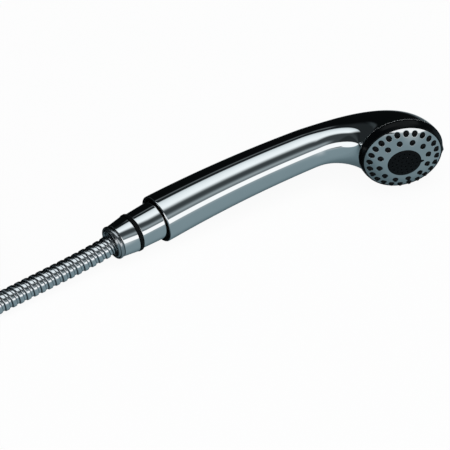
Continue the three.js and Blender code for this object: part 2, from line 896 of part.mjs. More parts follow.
const coil = piece("hose_coil", hoseCoil(), "steel");
coil.position.set(COIL_ALONG, TAIL_PLACE.y + COIL_RADIUS, 0);

const farEndFittings = new THREE.Group(); // its z runs along -X
farEndFittings.rotation.y = -Math.PI / 2;
farEndFittings.position.set(COIL_ALONG, TAIL_PLACE.y, COIL_TOP + GAP + FAR_NUT_RADIUS);
farEndFittings.add(
  piece("far_ferrule", farFerrule(), "steel"),
  piece("far_stem", farStem(), "brass"),
  piece("far_nut", farNut(), "chrome"),
  piece("far_washer", sleeve(5.2, 9.1, 19.5, 21.5), "rubber"),
);

const part = new THREE.Group();
part.add(handset, piece("hose_tube", hoseTube(), "steel"), coil, farEndFittings);

export default part;
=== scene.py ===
"""A handheld shower head with its wound metal hose, built and dressed piece by piece."""

import json
import logging
import math
from dataclasses import dataclass
from enum import Enum

import bmesh
import bpy
import numpy as np
from mathutils import Matrix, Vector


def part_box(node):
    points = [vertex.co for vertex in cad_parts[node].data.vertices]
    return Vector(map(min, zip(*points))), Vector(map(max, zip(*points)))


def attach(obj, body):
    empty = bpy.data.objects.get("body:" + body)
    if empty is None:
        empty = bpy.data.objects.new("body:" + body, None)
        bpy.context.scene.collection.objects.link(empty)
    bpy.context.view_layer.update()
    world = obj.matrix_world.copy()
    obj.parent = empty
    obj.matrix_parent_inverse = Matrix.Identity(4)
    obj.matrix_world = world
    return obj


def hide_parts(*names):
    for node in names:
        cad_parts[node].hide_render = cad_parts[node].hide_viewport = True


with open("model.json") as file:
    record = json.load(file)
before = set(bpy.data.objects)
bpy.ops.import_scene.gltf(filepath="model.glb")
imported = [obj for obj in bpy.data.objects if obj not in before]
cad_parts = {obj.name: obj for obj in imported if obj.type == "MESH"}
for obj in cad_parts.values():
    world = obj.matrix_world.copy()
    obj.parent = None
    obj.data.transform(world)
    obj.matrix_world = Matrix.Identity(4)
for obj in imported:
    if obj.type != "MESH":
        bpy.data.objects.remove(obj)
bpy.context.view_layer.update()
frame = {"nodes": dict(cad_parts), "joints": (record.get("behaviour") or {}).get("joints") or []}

Array = np.ndarray
Object = bpy.types.Object
Socket = bpy.types.NodeSocket
MM = 0.001
WELD = 1e-7  # corners nearer than this are one, in metres
LOG = logging.getLogger("shower")


# ---------------------------------------------------------------- places


@dataclass(frozen=True)
class Place:
    """A right-handed frame in the object.

    Attributes:
        origin: where it stands, in metres.
        x, y, z: its unit axes.
    """

    origin: Array
    x: Array
    y: Array
    z: Array

    def world(self, points: Array) -> Array:
        """Points given along this place's axes in millimetres, as metres in the row frame."""
        return self.origin + MM * (points @ np.stack([self.x, self.y, self.z]))


JOINTS = {joint["name"]: joint for joint in frame["joints"]}
SWIVEL_ALONG = -24.0  # where the hose swivel's pivot lies along the handle, in mm


def handset_place() -> Place:
    """The handle's own frame: x from tail to head, y away from the spray side, z up.

    Returns:
        The place, whose origin is the handle's tail.
    """
    joint = JOINTS["hose_swivel"]
    x = np.array(joint["axis"], float)
    y = np.array([0.0, 1.0, 0.0])
    origin = np.array(joint["pos_m"], float) - MM * SWIVEL_ALONG * x
    return Place(origin, x, y, np.cross(x, y))


def head_place(base: Place) -> Place:
    """The head's frame: x to its far end, y up, z along the spray.

    Args:
        base: the handle's frame.

    Returns:
        The place, whose origin is the spray face's pivot.
    """
    joint = JOINTS["spray_turn"]
    z = np.array(joint["axis"], float)
    return Place(np.array(joint["pos_m"], float), np.cross(base.z, z), base.z, z)


HANDSET = handset_place()
STEM = Place(HANDSET.origin, -HANDSET.z, HANDSET.y, HANDSET.x)  # for turned pieces: z along the handle
HEAD = head_place(HANDSET)


# ---------------------------------------------------------------- meshes


def unit(vectors: Array) -> Array:
    """Vectors scaled to length 1."""
    return vectors / np.linalg.norm(vectors, axis=-1, keepdims=True)


def full_turn(steps: int, first: float = 0.0) -> Array:
    """Angles evenly round a full turn, the last a step short of the first."""
    return first + np.linspace(0, 2 * np.pi, steps, endpoint=False)


def spun(profile: Array, angle: Array) -> Array:
    """A profile's [radius, height] points at every angle: radius times cosine and sine, then height."""
    radius, height = profile[:, 0:1], profile[:, 1:2]
    return np.stack([radius * np.cos(angle), radius * np.sin(angle), height + 0 * angle], -1)


def grid_faces(rows: int, columns: int, wrap_rows: bool, wrap_columns: bool) -> Array:
    """Quads over a grid of points, each the four corners of one cell.

    Args:
        rows: how many rows of points there are.
        columns: how many points each row has.
        wrap_rows: whether the last row joins the first.
        wrap_columns: whether each row closes on itself.

    Returns:
        An array of four point numbers per quad.
    """
    u = np.arange(rows if wrap_rows else rows - 1)[:, None]
    v = np.arange(columns if wrap_columns else columns - 1)[None, :]
    after_u, after_v = (u + 1) % rows, (v + 1) % columns
    corners = [u * columns + v, u * columns + after_v, after_u * columns + after_v,
               after_u * columns + v]
    return np.stack([c * np.ones_like(u * v) for c in corners], -1).reshape(-1, 4)


def linked(name: str, data: bpy.types.ID) -> Object:
    """A new object in the scene that shows some data.

    Args:
        name: the object's name.
        data: its mesh, lamp or camera.

    Returns:
        The object, at the origin.
    """
    obj = bpy.data.objects.new(name, data)
    bpy.context.scene.collection.objects.link(obj)
    return obj


def new_object(name: str, points: Array, faces: list, smooth_degrees: float = 38.0,
               depth: Array | None = None) -> Object:
    """A closed mesh object with its doubled corners merged and its faces turned outwards.

    Args:
        name: the piece's name.
        points: its corners in the row frame, in metres.
        faces: lists of corner numbers, one per face.
        smooth_degrees: edges sharper than this stay crisp.
        depth: how near a groove each corner lies, from 0 to 1, kept as groove_depth.

    Returns:
        The new object, at the origin.
    """
    mesh = bpy.data.meshes.new(name)
    mesh.from_pydata(points.reshape(-1, 3), [], faces)
    if depth is not None:
        mesh.attributes.new("groove_depth", "FLOAT", "POINT").data.foreach_set("value", depth.ravel())
    obj = linked(name, mesh)
    work = bmesh.new()
    work.from_mesh(mesh)
    bmesh.ops.remove_doubles(work, verts=work.verts, dist=WELD)
    bmesh.ops.recalc_face_normals(work, faces=work.faces)
    work.to_mesh(mesh)
    work.free()
    mesh.shade_smooth()
    mesh.set_sharp_from_angle(angle=math.radians(smooth_degrees))
    return obj


def close_ends(mesh: bpy.types.Mesh) -> None:
    """Fills a tube's two open ends.

    Args:
        mesh: the tube's mesh.
    """
    work = bmesh.new()
    work.from_mesh(mesh)
    bmesh.ops.holes_fill(work, edges=[e for e in work.edges if len(e.link_faces) == 1], sides=0)
    bmesh.ops.recalc_face_normals(work, faces=work.faces)
    work.to_mesh(mesh)
    work.free()


def surface(name: str, points: Array, wrap_rows: bool = False, capped: bool = False) -> Object:
    """A piece from rows of points that close on themselves.

    Args:
        name: the piece's name.
        points: rows by columns by 3, in metres.
        wrap_rows: whether the last row joins the first, as on a ring.
        capped: whether the first and last rows are filled in.

    Returns:
        The new object.
    """
    rows, columns = points.shape[:2]
    faces = grid_faces(rows, columns, wrap_rows, True).tolist()
    if capped:
        faces += [list(range(columns)), list(range((rows - 1) * columns, rows * columns))]
    return new_object(name, points, faces)


class Patches:
    """Grids of points gathered into one mesh.

    Attributes:
        points: each grid's points.
        faces: the corner numbers of all faces.
        total: how many points there are so far.
    """

    def __init__(self) -> None:
        """Starts with none."""
        self.points: list = []
        self.faces: list = []
        self.total = 0

    def add(self, grids: Array, wrap_rows: bool = False) -> None:
        """Adds grids of one size, whose rows close on themselves.

        Args:
            grids: rows by columns by 3, or any number of such grids.
            wrap_rows: whether each grid's last row joins its first.
        """
        rows, columns = grids.shape[-3:-1]
        quads = grid_faces(rows, columns, wrap_rows, True)
        for grid in grids.reshape(-1, rows * columns, 3):
            self.points.append(grid)
            self.faces += (quads + self.total).tolist()
            self.total += rows * columns

    def made(self, name: str, place: Place) -> Object:
        """One closed object of all the grids, at a place."""
        return new_object(name, place.world(np.concatenate(self.points)), self.faces)


LONGEST_EASING = 0.45  # the most of a side that one corner's easing takes


def rounded(outline: tuple, radius: float, steps: int = 4) -> Array:
    """A closed outline with each corner eased.

    A corner B between A and C, both at most the radius from it, becomes the curve
    (1-t)^2 A + 2(1-t)t B + t^2 C for t from 0 to 1.

    Args:
        outline: [radius, height] corners in order.
        radius: how far from each corner the easing starts.
        steps: how many points each corner gets.

    Returns:
        An array of [radius, height] points.
    """
    corner = np.array(outline, float)
    back, ahead = np.roll(corner, 1, 0) - corner, np.roll(corner, -1, 0) - corner

    def towards(side: Array) -> Array:
        """The point on each side where the easing starts."""
        length = np.linalg.norm(side, axis=1, keepdims=True)
        return corner + side / length * np.minimum(radius, LONGEST_EASING * length)

    t = np.linspace(0, 1, steps)[None, :, None]
    a, b, c = towards(back)[:, None], corner[:, None], towards(ahead)[:, None]
    return ((1 - t) ** 2 * a + 2 * (1 - t) * t * b + t**2 * c).reshape(-1, 2)


def turned(name: str, place: Place, profile: Array, segments: int) -> Object:
    """A ring: a closed profile of [radius, height] in mm, turned about the place's z axis."""
    return surface(name, place.world(spun(profile, full_turn(segments))), wrap_rows=True)


# ---------------------------------------------------------------- nodes and finishes


class Nodes:
    """A node tree in the making.

    Attributes:
        tree: the node tree.
    """

    def __init__(self, tree: bpy.types.NodeTree) -> None:
        """Starts on a tree."""
        self.tree = tree

    def join(self, node: bpy.types.Node, inputs: dict) -> None:
        """Sets a node's inputs.

        Args:
            node: the node.
            inputs: a value or a socket for each input, by its name or number.
        """
        for name, value in inputs.items():
            if isinstance(value, Socket):
                self.tree.links.new(value, node.inputs[name])
            else:
                node.inputs[name].default_value = value

    def add(self, kind: str, inputs: dict | None = None, **settings: str) -> bpy.types.Node:
        """Adds a node.

        Args:
            kind: what Blender calls it, after ShaderNode.
            inputs: a value or a socket for each input.
            settings: the node's own settings.

        Returns:
            The node.
        """
        node = self.tree.nodes.new(f"ShaderNode{kind}")
        for name, value in settings.items():
            setattr(node, name, value)
        self.join(node, inputs or {})
        return node

    def math(self, operation: str, *values: Socket | float) -> Socket:
        """What a math operation makes of sockets and numbers."""
        return self.add("Math", dict(enumerate(values)), operation=operation).outputs[0]

    def noise(self, space: Socket, scale: float, detail: float) -> Socket:
        """A noise texture's value in a given space."""
        return self.add("TexNoise", {"Vector": space, "Scale": scale, "Detail": detail}).outputs["Fac"]

    def mix(self, share: Socket, a: Socket | tuple, b: Socket | tuple) -> Socket:
        """Colour a where the share is 0 and colour b where it is 1."""
        return self.add("Mix", {"Factor": share, "A": a, "B": b}, data_type="RGBA").outputs["Result"]

    def span(self, value: Socket, low: float, high: float) -> Socket:
        """0 at low and 1 at high, smooth between and level beyond."""
        inputs = {"Value": value, "From Min": low, "From Max": high}
        return self.add("MapRange", inputs, interpolation_type="SMOOTHSTEP").outputs["Result"]

    def ramp(self, share: Socket, stops: list) -> tuple:
        """A ramp of colours.

        Args:
            share: where the ramp is read, from 0 to 1.
            stops: shares in rising order, each with its colour and cover.

        Returns:
            The colour's and the cover's sockets.
        """
        node = self.add("ValToRGB", {"Fac": share})
        elements = node.color_ramp.elements
        while len(elements) < len(stops):
            elements.new(0.5)
        for element, (place, colour, cover) in zip(elements, stops):
            element.position = place
            element.color = (*colour, cover)
        return node.outputs["Color"], node.outputs["Alpha"]


class Grain(Enum):
    """The fine relief that a surface carries, as noise scale per metre and relief in metres."""

    MIRROR = (900.0, 0.0000004)
    MOULDED = (5200.0, 0.000004)
    RUBBER = (7000.0, 0.000010)
    DRAWN = (2600.0, 0.000003)


TONE_NOISE = (0.35, 0.65)  # the noise values over which a finish drifts from one tone to the other
WEAR_NOISE = (0.3, 0.7)  # and from its least to its most roughness
TONE_DETAIL, WEAR_DETAIL, GRAIN_DETAIL = 3.0, 5.0, 2.0
WEAR_TO_TONE = 4  # how many patches of wear there are to a patch of tone
# Painted shade in the hose's grooves: the base colour is mixed towards a dark grey as groove_depth rises.
GROOVE_DEPTHS = (0.6, 0.95)  # the groove_depth at which shade starts, and where it is full
PAINTED_GROOVE_SHADE = (0.22, 0.24, 0.26, 1)


@dataclass(frozen=True)
class Finish:
    """A surface finish: two close tones, a roughness range and a grain.

    Attributes:
        name: the material's name.
        tones: the two colours that it drifts between.
        metallic: 1 for metal and plating, 0 for plastic and rubber.
        roughness: the least and most roughness.
        grain: its fine relief.
        patch: how many patches of tone there are to a metre.
        specular: how much a bare surface mirrors, 0.5 for most plastic.
        painted_groove_shade: whether the grooves get painted shade, darker by the mesh's own groove_depth.
    """

    name: str
    tones: tuple
    metallic: float
    roughness: tuple
    grain: Grain
    patch: float = 60.0
    specular: float = 0.5
    painted_groove_shade: bool = False

    def material(self) -> bpy.types.Material:
        """The finish as a node material, made once."""
        return bpy.data.materials.get(self.name) or self._build()

    def _build(self) -> bpy.types.Material:
        """Builds the nodes: tone, roughness and relief from noise in the piece's own space, and painted
        shade in the grooves where it is asked for.

        Returns:
            The new material.
        """
        material = bpy.data.materials.new(self.name)
        material.use_nodes = True
        nodes = Nodes(material.node_tree)
        space = nodes.add("TexCoord").outputs["Object"]
        drift = nodes.noise(space, self.patch, TONE_DETAIL)
        colour, _ = nodes.ramp(drift, [(at, tone, 1) for at, tone in zip(TONE_NOISE, self.tones)])
        if self.painted_groove_shade:
            # Painted shade: the colour darkens towards the grooves by groove_depth.
            depth = nodes.add("Attribute", attribute_name="groove_depth").outputs["Fac"]
            colour = nodes.mix(nodes.span(depth, *GROOVE_DEPTHS), colour, PAINTED_GROOVE_SHADE)
        wear = nodes.add("MapRange", {
            "Value": nodes.noise(space, WEAR_TO_TONE * self.patch, WEAR_DETAIL),
            "From Min": WEAR_NOISE[0], "From Max": WEAR_NOISE[1],
            "To Min": self.roughness[0], "To Max": self.roughness[1]})
        scale, relief = self.grain.value
        bump = nodes.add("Bump", {"Height": nodes.noise(space, scale, GRAIN_DETAIL), "Distance": relief})
        nodes.join(material.node_tree.nodes["Principled BSDF"], {
            "Metallic": self.metallic, "Specular IOR Level": self.specular, "Base Color": colour,
            "Roughness": wear.outputs["Result"], "Normal": bump.outputs["Normal"]})
        return material


CHROME = Finish("bright_chrome", ((0.83, 0.85, 0.86), (0.86, 0.88, 0.89)), 1.0, (0.015, 0.04),
                Grain.MIRROR)
FACE_CHROME = Finish("face_chrome", ((0.72, 0.74, 0.75), (0.76, 0.78, 0.79)), 1.0, (0.03, 0.06),
                     Grain.MIRROR)
# The hose's finish carries painted shade in its grooves.
HOSE_STEEL = Finish("hose_chrome_painted_groove_shade", ((0.76, 0.79, 0.81), (0.84, 0.86, 0.88)), 1.0, (0.10, 0.17),
                    Grain.DRAWN, painted_groove_shade=True)
DARK_CHROME = Finish("dark_chrome", ((0.48, 0.50, 0.52), (0.54, 0.56, 0.58)), 1.0, (0.16, 0.24),
                     Grain.MIRROR)
STEEL = Finish("plain_steel", ((0.60, 0.61, 0.62), (0.68, 0.69, 0.70)), 1.0, (0.2, 0.35),
               Grain.DRAWN)
BRASS = Finish("turned_brass", ((0.72, 0.55, 0.26), (0.80, 0.63, 0.32)), 1.0, (0.2, 0.35),
               Grain.DRAWN)
GLOSS_BLACK = Finish("gloss_black", ((0.0015, 0.002, 0.0025), (0.003, 0.0035, 0.004)), 0.0,
                     (0.12, 0.2), Grain.MOULDED, specular=0.1)
SATIN_BLACK = Finish("satin_black", ((0.003, 0.0035, 0.004), (0.005, 0.006, 0.007)), 0.0,
                     (0.38, 0.5), Grain.MOULDED, specular=0.06)
DISC_BLACK = Finish("disc_black", ((0.003, 0.0038, 0.0045), (0.0045, 0.0055, 0.0065)), 0.0,
                    (0.35, 0.45), Grain.MOULDED, specular=0.1)
RUBBER = Finish("nozzle_rubber", ((0.005, 0.0055, 0.006), (0.008, 0.0085, 0.009)), 0.0,
                (0.36, 0.5), Grain.RUBBER, specular=0.1)
WHITE_PLASTIC = Finish("white_plastic", ((0.74, 0.73, 0.69), (0.80, 0.79, 0.75)), 0.0,
                       (0.35, 0.5), Grain.MOULDED)

CAD_FINISHES = {
    WHITE_PLASTIC: ("water_tube", "flow_limiter", "slide_washer", "head_core", "plate_carrier",
                    "hub_bushing"),
    BRASS: ("inlet_nipple",),
    STEEL: ("swivel_stem", "inlet_filter", "centre_screw", "detent_pin", "detent_spring"),
    RUBBER: ("hose_washer", "stem_o_ring", "port_seal", "core_o_ring"),
    SATIN_BLACK: ("spray_chamber",),
}


def dress(obj: Object, finish: Finish, body: str, slot: str, *nodes: str) -> Object:
    """Gives a piece its finish, its body and the CAD nodes that it stands for.

    Args:
        obj: the piece.
        finish: its finish.
        body: the CAD body that it rides on.
        slot: the record's material slot; not used.
        nodes: the CAD nodes that it replaces.

    Returns:
        The same piece.
    """
    obj.data.materials.clear()
    obj.data.materials.append(finish.material())
    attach(obj, body)
    if nodes:
        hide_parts(*nodes)
    LOG.info("%s: %d faces, rides on %s", obj.name, len(obj.data.polygons), body)
    return obj


def dress_turned(place: Place, pieces: tuple) -> list:
    """Makes and dresses turned pieces.

    Args:
        place: the frame that they are turned in.
        pieces: for each its name, outline, easing, steps to a corner, segments, finish, body,
            slot and CAD node.

    Returns:
        The pieces.
    """
    return [dress(turned(name, place, rounded(outline, easing, steps), segments), finish, body, slot, node)
            for name, outline, easing, steps, segments, finish, body, slot, node in pieces]


# ---------------------------------------------------------------- light tent


TENT_FROM, TENT_TO = -60.0, 300.0  # the degrees that the tent is drawn over, a full turn
TENT_LIFT = 1.15  # makes up for what chrome swallows
WHITE = (1, 1, 1, 1)
BLUE_GAIN = 0.35


def grey(level: float, tint: float = 0.0) -> tuple:
    """A grey of a display level from 0 to 255, a little bluer with a higher tint.

    Args:
        level: the display level.
        tint: how many levels of red it lacks; blue gains a third of that.

    Returns:
        The light's red, green and blue.
    """
    def linear(value: float) -> float:
        """A display value as light, by the sRGB curve."""
        value = max(value, 0.0) / 255
        return value / 12.92 if value <= 0.04045 else ((value + 0.055) / 1.055) ** 2.4
    return linear(level - tint), linear(level), linear(level + BLUE_GAIN * tint)


@dataclass(frozen=True)
class Panel:
    """A lit card in the tent, between two angles and two leans, with soft or crisp edges.

    Attributes:
        low, high: its edges' angles where the lean is at bend or more.
        stops: the share of the way across, display level, tint and cover.
        low_slope, high_slope: how many degrees each edge moves per unit of lean below bend.
        bend: the lean at which the edges start to move.
        near, far: the leans at which it ends, towards the hose and towards the head.
        soft: the width of those two ends.
    """

    low: float
    high: float
    stops: tuple
    low_slope: float = 0.0
    high_slope: float = 0.0
    bend: float = -0.45
    near: float = -2.0
    far: float = 2.0
    soft: float = 0.05

    def over(self, nodes: Nodes, under: Socket, angle: Socket, lean: Socket) -> Socket:
        """Lays the card over what is under it.

        Args:
            nodes: the world's nodes.
            under: the light so far.
            angle: the direction's angle in degrees.
            lean: the direction's lean along the handle.

        Returns:
            The light with the card in it.
        """
        past = nodes.math("MAXIMUM", nodes.math("SUBTRACT", self.bend, lean), 0.0)
        low = nodes.math("MULTIPLY_ADD", past, self.low_slope, self.low)
        high = nodes.math("MULTIPLY_ADD", past, self.high_slope, self.high)
        across = nodes.math("DIVIDE", nodes.math("SUBTRACT", angle, low),
                            nodes.math("SUBTRACT", high, low))
        colour, cover = nodes.ramp(across, [(share, grey(level, tint), cover)
                                            for share, level, tint, cover in self.stops])
        for end, inside in ((self.near, self.near + self.soft), (self.far, self.far - self.soft)):
            cover = nodes.math("MULTIPLY", cover, nodes.span(lean, end, inside))
        return nodes.mix(cover, under, colour)


# What is seen where no card hangs: degrees from straight up over the spray side, level and tint
DARK_TENT = ((-60, 9, 2), (-50, 10, 2), (-44, 24, 3), (-34, 31, 5), (-26, 46, 5), (-22, 58, 5),
             (24, 62, 6), (62, 64, 7), (70, 58, 6), (92, 44, 5), (150, 14, 2), (300, 9, 2))
CARDS = (
    # The tent's own cloth towards the hose, a little lighter than the rest
    Panel(-62, -38, ((0.0, 36, 4, 1), (0.8, 36, 4, 1), (1.0, 36, 4, 0)), far=0.08, soft=0.2),
    Panel(250, 301, ((0.0, 36, 4, 0), (0.2, 36, 4, 1), (1.0, 36, 4, 1)), far=0.08, soft=0.2),
    Panel(-14, 36, ((0.0, 42, 5, 0), (0.15, 42, 5, 1), (0.85, 42, 5, 1), (1.0, 42, 5, 0)),
          far=-0.55, soft=0.1),
    # The thin strip behind the overhead box, and the tent's seam
    Panel(-46, -37, ((0.0, 60, 4, 0), (0.3, 94, 6, 1), (0.65, 94, 6, 1), (1.0, 50, 4, 0)),
          near=0.1, soft=0.12, far=0.5),
    Panel(276, 300, ((0.0, 58, 6, 0), (0.3, 58, 6, 1), (0.7, 54, 6, 1), (1.0, 36, 4, 0)),
          near=-0.14, soft=0.1, far=0.1),
    # The blue-grey floor paper, its lit front edge, and the strip behind it
    Panel(91, 264, ((0.0, 176, 10, 0), (0.012, 176, 10, 1), (0.05, 150, 14, 1), (0.11, 138, 18, 1),
                    (0.44, 135, 18, 1), (0.55, 126, 18, 1), (0.62, 112, 18, 1), (0.72, 98, 16, 1),
                    (0.94, 80, 12, 1), (1.0, 20, 4, 0)), low_slope=-13, high_slope=-40, bend=1.0),
    Panel(80, 118, ((0.0, 190, 10, 0), (0.02, 190, 10, 1), (0.2, 178, 10, 1), (1.0, 138, 18, 0)),
          near=-0.3, soft=0.3, far=0.32),
    Panel(216, 244, ((0.0, 130, 8, 0), (0.2, 150, 8, 1), (0.6, 120, 6, 1), (1.0, 40, 4, 0)),
          near=-0.1, soft=0.3, far=0.75),
    # The overhead box and the fringe of its light
    Panel(-26.5, 30, ((0.0, 190, 8, 0), (0.02, 196, 9, 1), (0.1, 216, 8, 1), (0.25, 232, 7, 1),
                      (0.5, 243, 6, 1), (0.62, 243, 6, 1), (0.7, 222, 6, 1), (0.78, 172, 6, 1),
                      (0.87, 96, 6, 1), (1.0, 60, 6, 0)),
          low_slope=-24, high_slope=-60, bend=0.2, near=-0.58, soft=0.16, far=0.85),
    Panel(36, 67, ((0.0, 62, 7, 0), (0.3, 106, 9, 1), (0.46, 146, 10, 1), (0.6, 150, 10, 1),
                   (0.75, 122, 10, 1), (0.99, 112, 10, 1), (1.0, 112, 10, 0)),
          low_slope=-36, high_slope=-36, bend=0.2, near=-0.5, soft=0.35, far=0.85),
    # The front card and the card at the hose's end
    Panel(65, 88, ((0.0, 236, 2, 0), (0.08, 252, 1, 1), (0.9, 252, 1, 1), (1.0, 176, 6, 0)),
          low_slope=-38, high_slope=-24, bend=0.2, far=0.85),
    Panel(33, 62, ((0.0, 240, 3, 0), (0.06, 250, 2, 1), (0.95, 250, 2, 1), (1.0, 240, 3, 0)),
          low_slope=-40, high_slope=150, bend=-0.7, far=-0.7, soft=0.08),
)


# ---------------------------------------------------------------- camera and studio


@dataclass
class Studio:
    """The camera, the floor and the soft light round the object.

    Attributes:
        distance: from the camera to the object, in metres.
        lens: the focal length in mm on a 36 mm frame.
        clip: how far the camera sees, in metres.
        right, up, back: the camera's own axes in the row frame.
        aim_right, aim_up: what the camera looks at, in mm from the handle's tail.
        floor_half: half of the floor's side, in metres.
        paper, paper_roughness: the floor's colour and roughness.
        paper_glow: the share of plain white that the camera sees in the floor.
        lamp_size, lamp_power, lamp_at, lamp_tilt: the overhead lamp's sides in metres, its
            watts, its place in metres and its tilt in degrees.
    """

    distance: float = 12.0
    lens: float = 1454.5
    clip: float = 100.0
    right: tuple = (0.8159, -0.5780, 0.0159)
    up: tuple = (0.3893, 0.5695, 0.7240)
    back: tuple = (-0.4275, -0.5845, 0.6897)
    aim_right: float = 42.97
    aim_up: float = -5.35
    floor_half: float = 20.0
    paper: tuple = (0.92, 0.92, 0.92, 1)
    paper_roughness: float = 0.9
    paper_glow: float = 0.94
    lamp_size: tuple = (2.2, 1.6)
    lamp_power: float = 22.0
    lamp_at: tuple = (-0.2, -0.5, 1.8)
    lamp_tilt: float = -15.0

    def camera(self) -> None:
        """Makes the camera, looking down at the handset from its hose end."""
        data = bpy.data.cameras.new("camera")
        data.lens = self.lens
        data.clip_end = self.clip
        obj = linked("camera", data)
        right, up, back = (unit(np.array(axis)) for axis in (self.right, self.up, self.back))
        turn = np.eye(4)
        turn[:3, 0], turn[:3, 1], turn[:3, 2] = right, up, back
        turn[:3, 3] = (HANDSET.origin + MM * (self.aim_right * right + self.aim_up * up)
                       + self.distance * back)
        obj.matrix_world = Matrix(turn.tolist())
        bpy.context.scene.camera = obj

    def floor(self) -> None:
        """Makes the pale floor that the object lies on. Metal mirrors the tent's own floor instead."""
        half = self.floor_half
        mesh = bpy.data.meshes.new("floor")
        mesh.from_pydata([(-half, -half, 0), (half, -half, 0), (half, half, 0), (-half, half, 0)], [],
                         [(0, 1, 2, 3)])
        floor = linked("floor", mesh)
        floor.visible_glossy = False
        material = bpy.data.materials.new("floor_paper")
        material.use_nodes = True
        nodes = Nodes(material.node_tree)
        shader = nodes.tree.nodes["Principled BSDF"]
        nodes.join(shader, {"Base Color": self.paper, "Roughness": self.paper_roughness,
                            "Specular IOR Level": 0.0})
        share = nodes.math("MULTIPLY", nodes.add("LightPath").outputs["Is Camera Ray"], self.paper_glow)
        blend = nodes.add("MixShader", {0: share, 1: shader.outputs[0],
                                        2: nodes.add("Emission").outputs[0]})
        nodes.join(nodes.tree.nodes["Material Output"], {"Surface": blend.outputs[0]})
        mesh.materials.append(material)

    def key_light(self) -> None:
        """Makes the large soft lamp overhead, which gives the faint shadow."""
        data = bpy.data.lights.new("overhead_softbox", "AREA")
        data.shape = "RECTANGLE"
        data.size, data.size_y = self.lamp_size
        data.energy = self.lamp_power
        lamp = linked("overhead_softbox", data)
        lamp.location = self.lamp_at
        lamp.rotation_euler = (math.radians(self.lamp_tilt), 0, 0)
        lamp.visible_glossy = False
        lamp.visible_camera = False

    def surroundings(self) -> None:
        """Makes the light tent: what the metal mirrors, by the direction that it looks in.

        A direction is told by its angle, in degrees from straight up over the spray side to
        straight down and on behind, and by its lean along the handle from -1 to 1.
        """
        world = bpy.data.worlds.new("light_tent")
        bpy.context.scene.world = world
        world.use_nodes = True
        nodes = Nodes(world.node_tree)
        split = nodes.add("SeparateXYZ", {0: nodes.add("TexCoord").outputs["Generated"]})
        forward = nodes.math("MULTIPLY", split.outputs["Y"], -1.0)
        turn = nodes.math("ARCTAN2", forward, split.outputs["Z"])
        angle = nodes.math("WRAP", nodes.math("DEGREES", turn), TENT_TO, TENT_FROM)
        share = nodes.math("DIVIDE", nodes.math("SUBTRACT", angle, TENT_FROM), TENT_TO - TENT_FROM)
        light, _ = nodes.ramp(share, [((degrees - TENT_FROM) / (TENT_TO - TENT_FROM), grey(level, tint), 1)
                                      for degrees, level, tint in DARK_TENT])
        for panel in CARDS:
            light = panel.over(nodes, light, angle, split.outputs["X"])
        seen = nodes.add("LightPath").outputs["Is Camera Ray"]
        nodes.join(nodes.tree.nodes["Background"], {
            "Color": nodes.mix(seen, light, WHITE),
            "Strength": nodes.math("MULTIPLY_ADD", seen, 1 - TENT_LIFT, TENT_LIFT)})


# ---------------------------------------------------------------- hose


def smooth_through(x: Array, knots: Array, values: Array) -> Array:
    """A curve through the knots whose slope is the mean of its neighbours' (Hermite).

    Args:
        x: where to read the curve.
        knots: rising places of the knots.
        values: the knots' values.

    Returns:
        The curve's values at x.
    """
    slope = np.gradient(values, knots)
    i = np.clip(np.searchsorted(knots, x) - 1, 0, len(knots) - 2)
    width = knots[i + 1] - knots[i]
    t = (x - knots[i]) / width
    return ((2 * t**3 - 3 * t**2 + 1) * values[i] + (t**3 - 2 * t**2 + t) * width * slope[i]
            + (3 * t**2 - 2 * t**3) * values[i + 1] + (t**3 - t**2) * width * slope[i + 1])


def lengths_along(line: Array) -> Array:
    """How far along a line each of its points lies."""
    return np.concatenate([[0], np.cumsum(np.linalg.norm(np.diff(line, axis=0), axis=1))])


def read_along(places: Array, along: Array, values: Array) -> Array:
    """The values at places along a line, straight between its points.

    Args:
        places: how far along the line to read.
        along: how far along each point lies.
        values: each point's three values.

    Returns:
        An array of the places' shape by 3.
    """
    return np.stack([np.interp(places, along, values[:, k]) for k in range(3)], -1)


